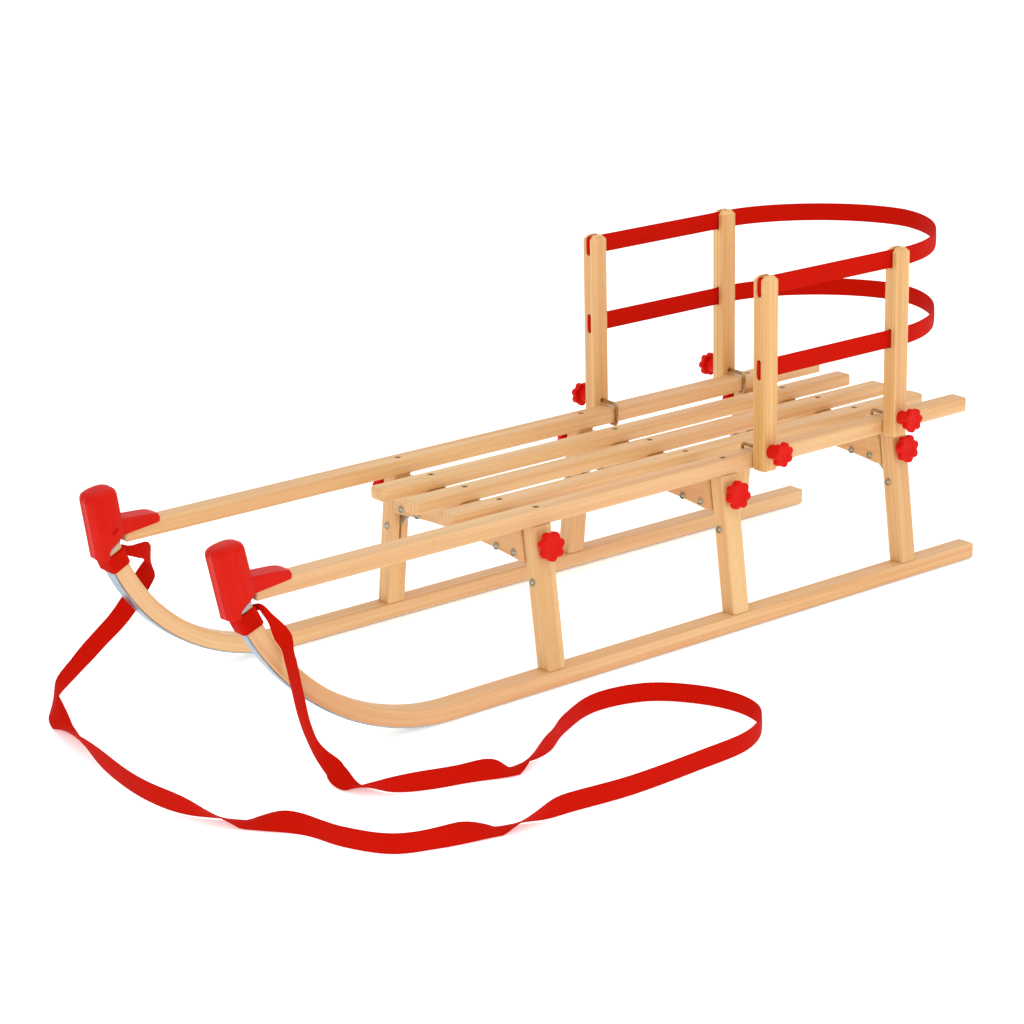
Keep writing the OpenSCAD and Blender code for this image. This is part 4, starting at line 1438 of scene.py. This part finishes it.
@dataclass
class NoseCap:
    """The cap over a runner's tip, with its saddle over the rail's end.

    Attributes:
        side: which side.
        foot: the middle of its mouth on the left side.
        lean: lean to the front, in radians.
        tilt: lean to the sled's middle, in radians.
        height: length along its own axis.
        length: size along the sled.
        width: size across the sled.
        squareness: power of the outline's rounding, 2 for an ellipse.
        flute: share of a full polygon in the facets.
        flutes: number of facets around it.
        crown: height of the rounded top.
        wall: wall thickness.
        mouth_slant: slope of the mouth's rear, in radians.
        solid_top: length of the tube above its bore.
        sleeve_t: thickness of the steel sleeve on the tip.
        sleeve_show: how much of the sleeve shows under the mouth.
    """

    side: Side
    foot: tuple[float, float, float] = (0.0, 0.0, 0.1965)
    lean: float = math.radians(9.5)
    tilt: float = math.radians(4.0)
    height: float = 0.0868
    length: float = 0.0455
    width: float = 0.0412
    squareness: float = 2.75
    flute: float = 0.9
    flutes: int = 12
    crown: float = 0.0112
    wall: float = 0.003
    mouth_slant: float = math.radians(36)
    solid_top: float = 0.056
    sleeve_t: float = 0.0008
    sleeve_show: float = 0.0075

    def outline(self, shrink: float, fluted: float = 1.0) -> np.ndarray:
        """The tube's section, as (x, y) points.

        Args:
            shrink: how far it is moved inward.
            fluted: share of the facets' depth.

        Returns:
            The points, counter-clockwise.
        """
        a, b = self.length / 2 - shrink, self.width / 2 - shrink
        points = []
        for angle in np.linspace(0, 2 * math.pi, 96, endpoint=False):
            c, s = math.cos(angle), math.sin(angle)
            r = (abs(c / a) ** self.squareness + abs(s / b) ** self.squareness) ** (-1 / self.squareness)
            part = 2 * math.pi / self.flutes
            off = (angle + part / 2) % part - part / 2
            r *= 1 - self.flute * fluted * (1 - math.cos(part / 2) / math.cos(off))
            points.append((r * c, r * s))
        return np.array(points)

    def tube(self, name: str, shrink: float, low: float, high: float, domed: bool) -> bpy.types.Object:
        """The tube or its bore, along the cap's own axis."""
        rings = []
        stations = [(z, 0.0) for z in np.linspace(low, high - (self.crown if domed else 0), 14)]
        if domed:
            for k in range(1, 15):
                t = k / 14
                rise = math.sin(t * math.pi / 2)
                stations.append((high - self.crown + self.crown * rise, (1 - math.cos(t * math.pi / 2) ** 0.5)))
            stations = [(low, 0.045), (low + 0.0003, 0.02), (low + 0.001, 0.0)] + stations[1:]
        for z, closing in stations:
            section = self.outline(shrink, max(1.0 - closing * 1.6, 0)) * (1 - closing * 0.985)
            rings.append(np.column_stack([section, np.full(len(section), z)]))
        piece = skin(name, np.array(rings))
        turn = Matrix.Rotation(self.lean, 4, "Y") @ Matrix.Rotation(self.tilt, 4, "X")
        piece.data.transform(Matrix.Translation(self.foot) @ turn)
        return piece

    def saddle(self) -> bpy.types.Object:
        """The arm over the rail's end: chamfered on top, with round corners at its tip.

        Each station is its x, half its width, and the heights of its top and its lower edge.
        """
        stations = [
            (0.600, 0.0163, 0.2405, 0.2185), (0.584, 0.0163, 0.2400, 0.2208),
            (0.570, 0.0163, 0.2395, 0.2226), (0.556, 0.0163, 0.2388, 0.2243),
            (0.546, 0.0163, 0.2381, 0.2255), (0.541, 0.0162, 0.2374, 0.2261),
            (0.5375, 0.0158, 0.2366, 0.2265), (0.5350, 0.0148, 0.2358, 0.2268),
            (0.5332, 0.0132, 0.2351, 0.2270), (0.5320, 0.0108, 0.2346, 0.2272),
            (0.5314, 0.0075, 0.2343, 0.2273)]
        rings = []
        for x, half, high, low in stations:
            y = SIZES.rail_y
            flank = [(half, low), (half, high - 0.0045), (half - 0.0006, high - 0.0033),
                     (half - 0.0034, high - 0.0005), (half - 0.0044, high)]
            flank = [(max(u, 0.0004), v) for u, v in flank]
            rings.append([(x, y + u, v) for u, v in flank] + [(x, y - u, v) for u, v in flank[::-1]])
        return skin("saddle", np.array(rings))

    def prism(self, points: Sequence[tuple[float, float]],
              near: float = 0.05, far: float = 0.25) -> bpy.types.Object:
        """A cutting tool from an (x, z) outline, from near to far across the sled."""
        return skin("tool", np.array([[(x, y, z) for x, z in points] for y in (near, far)]))

    def mouth(self, drop: float = 0.0) -> bpy.types.Object:
        """The tool that slants the mouth's rear, moved down by drop."""
        x, z, run = self.foot[0] - 0.0185, self.foot[2] + 0.0290 - drop, 0.0265
        slope, far = math.tan(self.mouth_slant), 0.1
        front, low = x + run + 0.0015, z - run * slope
        return self.prism(((x - far, z + far * slope), (x + run, low), (front, low - 0.004),
                           (front, z - far), (x - far, z - far)))

    def ferrule(self) -> bpy.types.Object:
        """The thin steel sleeve on the runner's tip, which shows under the mouth."""
        room = 2 * self.sleeve_t
        outline = soft_box(SIZES.runner_w + room, SIZES.runner_h + SIZES.steel_t + room, 0.003, 4)
        rings = []
        for angle in np.linspace(math.radians(64.5), math.radians(73.5), 10):
            place, _, wide, high = bend_frame(angle)
            rings.append(place - high * SIZES.steel_t / 2 + outline[:, :1] * wide + outline[:, 1:] * high)
        sleeve = skin("ferrule", np.array(rings))
        carve(sleeve, [self.mouth(self.sleeve_show)])
        return sleeve

    def latch(self) -> bpy.types.Object:
        """The small raised bar on the tube's inner face."""
        x, z = self.foot[0] + 0.001, self.foot[2] + 0.0318
        y = SIZES.leg_y(z) - self.width / 2
        rise, long = math.radians(42), 0.009
        c, s = math.cos(rise), math.sin(rise)
        return bar("latch", soft_box(0.0016, 0.0030, 0.0005, 2), (x + long / 2 * c, y, z - long / 2 * s),
                   ((-c, 0, s), (s, 0, c), (0, 1, 0)), long, 0.0005)

    def build(self, shop: Workshop) -> None:
        """Makes the cap: tube and saddle joined, bored for the runner and cut out for the rail."""
        rise = SIZES.bend_r - self.foot[2] - 0.006
        reach = SIZES.bend_x + math.sqrt(SIZES.bend_mid_r ** 2 - rise ** 2) + 0.0008
        self.foot = (reach, SIZES.leg_y(self.foot[2]) - 0.001, self.foot[2])
        cap = self.tube(f"nose_cap_{self.side.label}", 0.0, -0.0005, self.height, True)
        carve(cap, [self.mouth()])
        carve(cap, [self.saddle()], join=True)
        carve(cap, [self.latch()], join=True)
        bore = self.tube("bore", self.wall, -0.03, self.height - self.solid_top, False)
        half, top = SIZES.rail_w / 2 + 0.0003, SIZES.rail_top + 0.0003
        corners = ((-half, 0.15), (half, 0.15), (half, top), (-half, top))
        room = skin("room", np.array([[(x, SIZES.rail_y + y, z) for y, z in corners]
                                      for x in (0.45, SIZES.rail_front + 0.0004)]))
        carve(cap, [bore])
        carve(cap, [room])
        sleeve = self.ferrule()
        for piece in (cap, sleeve):
            if self.side is Side.RIGHT:
                piece.data.transform(Matrix.Scale(-1, 4, (0, 1, 0)))
                piece.data.flip_normals()
        shop.mount(cap, Finish.CAP_PLASTIC, self.side.body, [f"cap_{self.side.label}"], sharp=15)
        sleeve.name = f"tip_sleeve_{self.side.label}"
        shop.mount(sleeve, Finish.RUNNER_STEEL, self.side.body, [f"steel_strip_{self.side.label}"], sharp=40)


@dataclass
class StarKnob:
    """A seven-lobed knob on a rod.

    Attributes:
        diameter: over the lobes.
        lobes: number of lobes.
        lobe_r: radius of a lobe.
        valley_r: distance of a valley from the axis.
        thick: thickness of the head.
        collar: length of the collar under it.
        collar_d: diameter of the collar.
        sharp: how sharply a valley turns into a lobe.
    """

    diameter: float = 0.0385
    lobes: int = 7
    lobe_r: float = 0.0059
    valley_r: float = 0.0155
    thick: float = 0.0095
    collar: float = 0.0080
    collar_d: float = 0.020
    sharp: float = 1400.0

    def outline(self) -> np.ndarray:
        """The head's outline, with soft valleys."""
        reach = self.diameter / 2 - self.lobe_r
        points = []
        for angle in np.linspace(0, 2 * math.pi, 24 * self.lobes, endpoint=False):
            part = 2 * math.pi / self.lobes
            off = (angle + part / 2) % part - part / 2
            root = self.lobe_r ** 2 - (reach * math.sin(off)) ** 2
            lobe = reach * math.cos(off) + math.sqrt(root) if root > 0 else 0.0
            r = math.log(math.exp(self.sharp * lobe) + math.exp(self.sharp * self.valley_r)) / self.sharp
            r = min(r, self.diameter / 2)
            points.append((r * math.cos(angle), r * math.sin(angle)))
        return np.array(points)

    def make(self, name: str, point: Sequence[float], out: Sequence[float], turn: float) -> bpy.types.Object:
        """One knob.

        Args:
            name: the new object's name.
            point: where its collar meets the wood.
            out: the direction that it faces.
            turn: how it is turned about its axis, in radians.

        Returns:
            The new object.
        """
        outline = self.outline()
        z0, z1 = self.collar, self.collar + self.thick
        round_edge, under_edge = 0.0022, 0.0014
        stations = [(z0, 0.0085), (z0, under_edge)]
        stations += [(z0 + under_edge * (1 - math.cos(a)), under_edge * (1 - math.sin(a)))
                     for a in np.linspace(0, math.pi / 2, 4)]
        stations += [(z1 - round_edge * (1 - math.sin(a)), round_edge * (1 - math.cos(a)))
                     for a in np.linspace(0, math.pi / 2, 6)]
        rings = []
        for z, depth in stations:
            section = inset(outline, depth) if depth < 0.004 else outline * (1 - depth / (self.diameter / 2))
            rings.append(np.column_stack([section, np.full(len(section), z)]))
        rim = circle(self.diameter * 0.245, len(outline))
        last = rings[-1][:, :2]
        for share in (0.5, 1.0):
            section = last * (1 - share) + rim * share
            rings.append(np.column_stack([section, np.full(len(section), z1)]))
        for radius, z in ((self.diameter * 0.225, -0.0005), (0.0045, -0.0007), (0.0010, -0.0007)):
            section = circle(radius, len(outline))
            rings.append(np.column_stack([section, np.full(len(section), z1 + z)]))
        head = skin(name, np.array(rings))
        collar = turned("collar", [(self.collar_d / 2 - 0.0004, 0.0003), (self.collar_d / 2, 0.0008),
                                   (self.collar_d / 2, self.collar + 0.0005)], Matrix.Identity(4), 40)
        knob = joined(name, [head, collar])
        knob.data.transform(facing(point, out) @ Matrix.Rotation(turn, 4, "Z"))
        return knob


@dataclass
class Knobs:
    """All star knobs of one side.

    Attributes:
        side: which side.
        lock_z: height of the locking screws.
        leg_knob: the knob on a leg.
        post_knob: the smaller knob with a long neck on a post.
    """

    side: Side
    lock_z: float = 0.182
    leg_knob: StarKnob = field(default_factory=StarKnob)
    post_knob: StarKnob = field(default_factory=lambda: StarKnob(
        diameter=0.0335, lobe_r=0.0052, valley_r=0.0134, thick=0.0090, collar=0.0165, collar_d=0.019))

    def build(self, shop: Workshop) -> None:
        """Makes the knobs on the legs and on the posts."""
        lean, sign = SIZES.splay, self.side.value
        for number, row in enumerate(Row):
            out = (0, sign * math.cos(lean), math.sin(lean))
            y = SIZES.leg_y(self.lock_z) * sign
            point = Vector((row.value, y, self.lock_z)) + Vector(out) * SIZES.leg_t / 2
            name = f"star_knob_leg_{self.side.label}_{row.label}"
            piece = self.leg_knob.make(name, point, out, 0.15 + 0.5 * number)
            body = f"leg_knob_turn_{self.side.label}_{row.label}"
            shop.mount(piece, Finish.KNOB_PLASTIC, body, [f"leg_knob_{self.side.label}_{row.label}"], sharp=38)
            shop.keep(f"lock_screw_{self.side.label}_{row.label}", Finish.ZINC_STEEL)
        for number, place in enumerate(PostPlace):
            node = f"post_knob_{self.side.label}_{place.label}"
            low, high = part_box(node)
            y = low.y if sign > 0 else high.y
            point = (place.value, y - sign * 0.0003, (low.z + high.z) / 2)
            name = f"star_knob_post_{self.side.label}_{place.label}"
            piece = self.post_knob.make(name, point, (0, sign, 0), 0.35 + 0.6 * number)
            body = f"post_knob_turn_{self.side.label}_{place.label}"
            shop.mount(piece, Finish.KNOB_PLASTIC, body, [node], sharp=38)


# ---------------------------------------------------------------- backrest


@dataclass
class Backrest:
    """The posts and hooks of one side.

    Attributes:
        side: which side.
        width: a post's size along the sled.
        depth: a post's size across the sled.
        low: height of the posts' lower ends.
        top: height of their tops.
        bevel: bevel on their tops.
        edge: radius on their long edges.
        slot_w: width of the webbing slots in the front and in the rear post.
        rod_d: diameter of the hooks.
        hook_z: height of the hooks' rods.
        straps: the straps that the slots are cut for.
    """

    side: Side
    width: float = 0.025
    depth: float = 0.024
    low: float = 0.208
    top: float = 0.4698
    bevel: float = 0.0060
    edge: float = 0.0040
    slot_w: tuple[float, float] = (0.0074, 0.0038)
    rod_d: float = 0.0048
    hook_z: float = 0.236
    straps: BackrestStraps = field(default_factory=BackrestStraps)

    @property
    def post_y(self) -> float:
        """Distance of the posts' middles from the sled's middle."""
        return SIZES.rail_y + SIZES.rail_w / 2 + self.depth / 2

    def slot(self, x: float, low: float, high: float) -> bpy.types.Object:
        """The tool that cuts a webbing slot with a soft rim through a post.

        Args:
            x: the post's place along the sled.
            low: the slot's lowest point.
            high: its highest point.

        Returns:
            The tool.
        """
        rings = []
        face = self.width / 2
        wide = self.slot_w[0 if x == PostPlace.FRONT.value else 1]
        for dx, grow in ((-face - 0.002, 0.0009), (-face, 0.0007), (-face + 0.0009, 0.0),
                         (face - 0.0009, 0.0), (face, 0.0007), (face + 0.002, 0.0009)):
            section = soft_box(wide + 2 * grow, high - low + 2 * grow, wide / 2, 5)
            rings.append(np.column_stack([np.full(len(section), x + dx), self.post_y + section[:, 0],
                                          (low + high) / 2 + section[:, 1]]))
        return skin("slot", np.array(rings), side=self.side)

    def post(self, place: PostPlace, seed: float, shop: Workshop) -> None:
        """One post with its slots and the hook's hole."""
        low, shoulder = self.low, self.top - self.bevel
        stations = [(low, 0.0034), (low + 0.0010, 0.0014), (low + 0.0024, 0.0003), (low + 0.0036, 0.0)]
        stations += [(z, 0.0) for z in np.linspace(low + 0.01, shoulder - 0.002, 8)]
        stations += [(shoulder - 0.0003, 0.0), (shoulder + 0.0003, 0.0003),
                     (self.top - 0.0004, self.bevel - 0.0006), (self.top, self.bevel + 0.0001)]
        rings = []
        for z, depth in stations:
            section = soft_box(self.width - 2 * depth, self.depth - 2 * depth,
                               max(self.edge - depth, 0.0006), 5)
            rings.append(np.column_stack([place.value + section[:, 0], self.post_y + section[:, 1],
                                          np.full(len(section), z)]))
        piece = skin(f"back_post_{self.side.label}_{place.label}", np.array(rings), side=self.side)
        upper, lower = self.straps.bottoms["upper"], self.straps.bottoms["lower"]
        carve(piece, [self.slot(place.value, upper - 0.0012, self.top + 0.02)])
        carve(piece, [self.slot(place.value, lower - 0.0008, lower + self.straps.width + 0.0008)])
        r = self.rod_d / 2 + 0.0003
        inner = (place.value, self.side.value * (self.post_y - self.depth / 2), self.hook_z)
        hole = turned("hole", [(r, -self.depth - 0.01), (r, -0.0008), (r + 0.0008, 0.0), (r + 0.0008, 0.004)],
                      facing(inner, (0, -self.side.value, 0)), 28)
        carve(piece, [hole])
        lay_grain(piece, (0.004, 0, 1), seed)
        shop.mount(piece, Finish.BEECH_POST, self.side.body, [f"post_{self.side.label}_{place.label}"])

    def hook(self, place: PostPlace) -> bpy.types.Object:
        """One hook bolt: through the post, over the rail, down its inner face and under it."""
        r, bend = self.rod_d / 2, 0.0055
        inner = SIZES.rail_y - SIZES.rail_w / 2 - r - 0.0004
        low = SIZES.rail_low - r - 0.0004
        outer = SIZES.rail_y + SIZES.rail_w / 2 + self.depth + 0.012
        line = [(outer, self.hook_z), (outer - 0.02, self.hook_z), (outer - 0.04, self.hook_z)]
        turn = np.linspace(0, math.pi / 2, 9)
        line += [(inner + bend - bend * math.sin(a), self.hook_z - bend + bend * math.cos(a)) for a in turn]
        line += [(inner + bend - bend * math.cos(a), low + bend - bend * math.sin(a)) for a in turn]
        line += [(inner + bend + 0.004, low), (inner + bend + 0.0078, low)]
        path = np.array([(place.value, y, z) for y, z in line])
        way = tangents(path)
        ring = circle(r, 20)
        rings = []
        side_way = np.array([1.0, 0.0, 0.0])
        for p, d in zip(path, way):
            over = np.cross(d, side_way)
            rings.append(p + ring[:, :1] * side_way + ring[:, 1:] * over)
        end, d = path[-1], way[-1]
        for t in (0.4, 0.8, 1.0):
            shrink = math.sqrt(max(1 - t * t, 0.02))
            rings.append(end + d * r * 0.4 * t + ring[:, :1] * shrink * side_way + ring[:, 1:] * shrink * over)
        return skin("hook", np.array(rings), side=self.side)

    def build(self, shop: Workshop) -> None:
        """Makes the posts and the hooks."""
        for number, place in enumerate(PostPlace):
            self.post(place, 24.0 + 2 * number + self.side.value, shop)
        hooks = [self.hook(place) for place in PostPlace]
        shop.join(f"hook_rods_{self.side.label}", hooks, Finish.BRASS_ROD, self.side.body,
                  f"hook_bolts_{self.side.label}")


def main() -> None:
    """Builds the sled's looks around its frame."""
    logging.basicConfig(level=logging.INFO, format="%(name)s: %(message)s")
    shop = Workshop()
    Studio().build()
    PullStrap().build(shop)
    BackrestStraps().build(shop)
    Seat().build(shop)
    for side in Side:
        SideFrame(side).build(shop)
        NoseCap(side).build(shop)
        Knobs(side).build(shop)
        Backrest(side).build(shop)


if __name__ == "__main__":
    main()
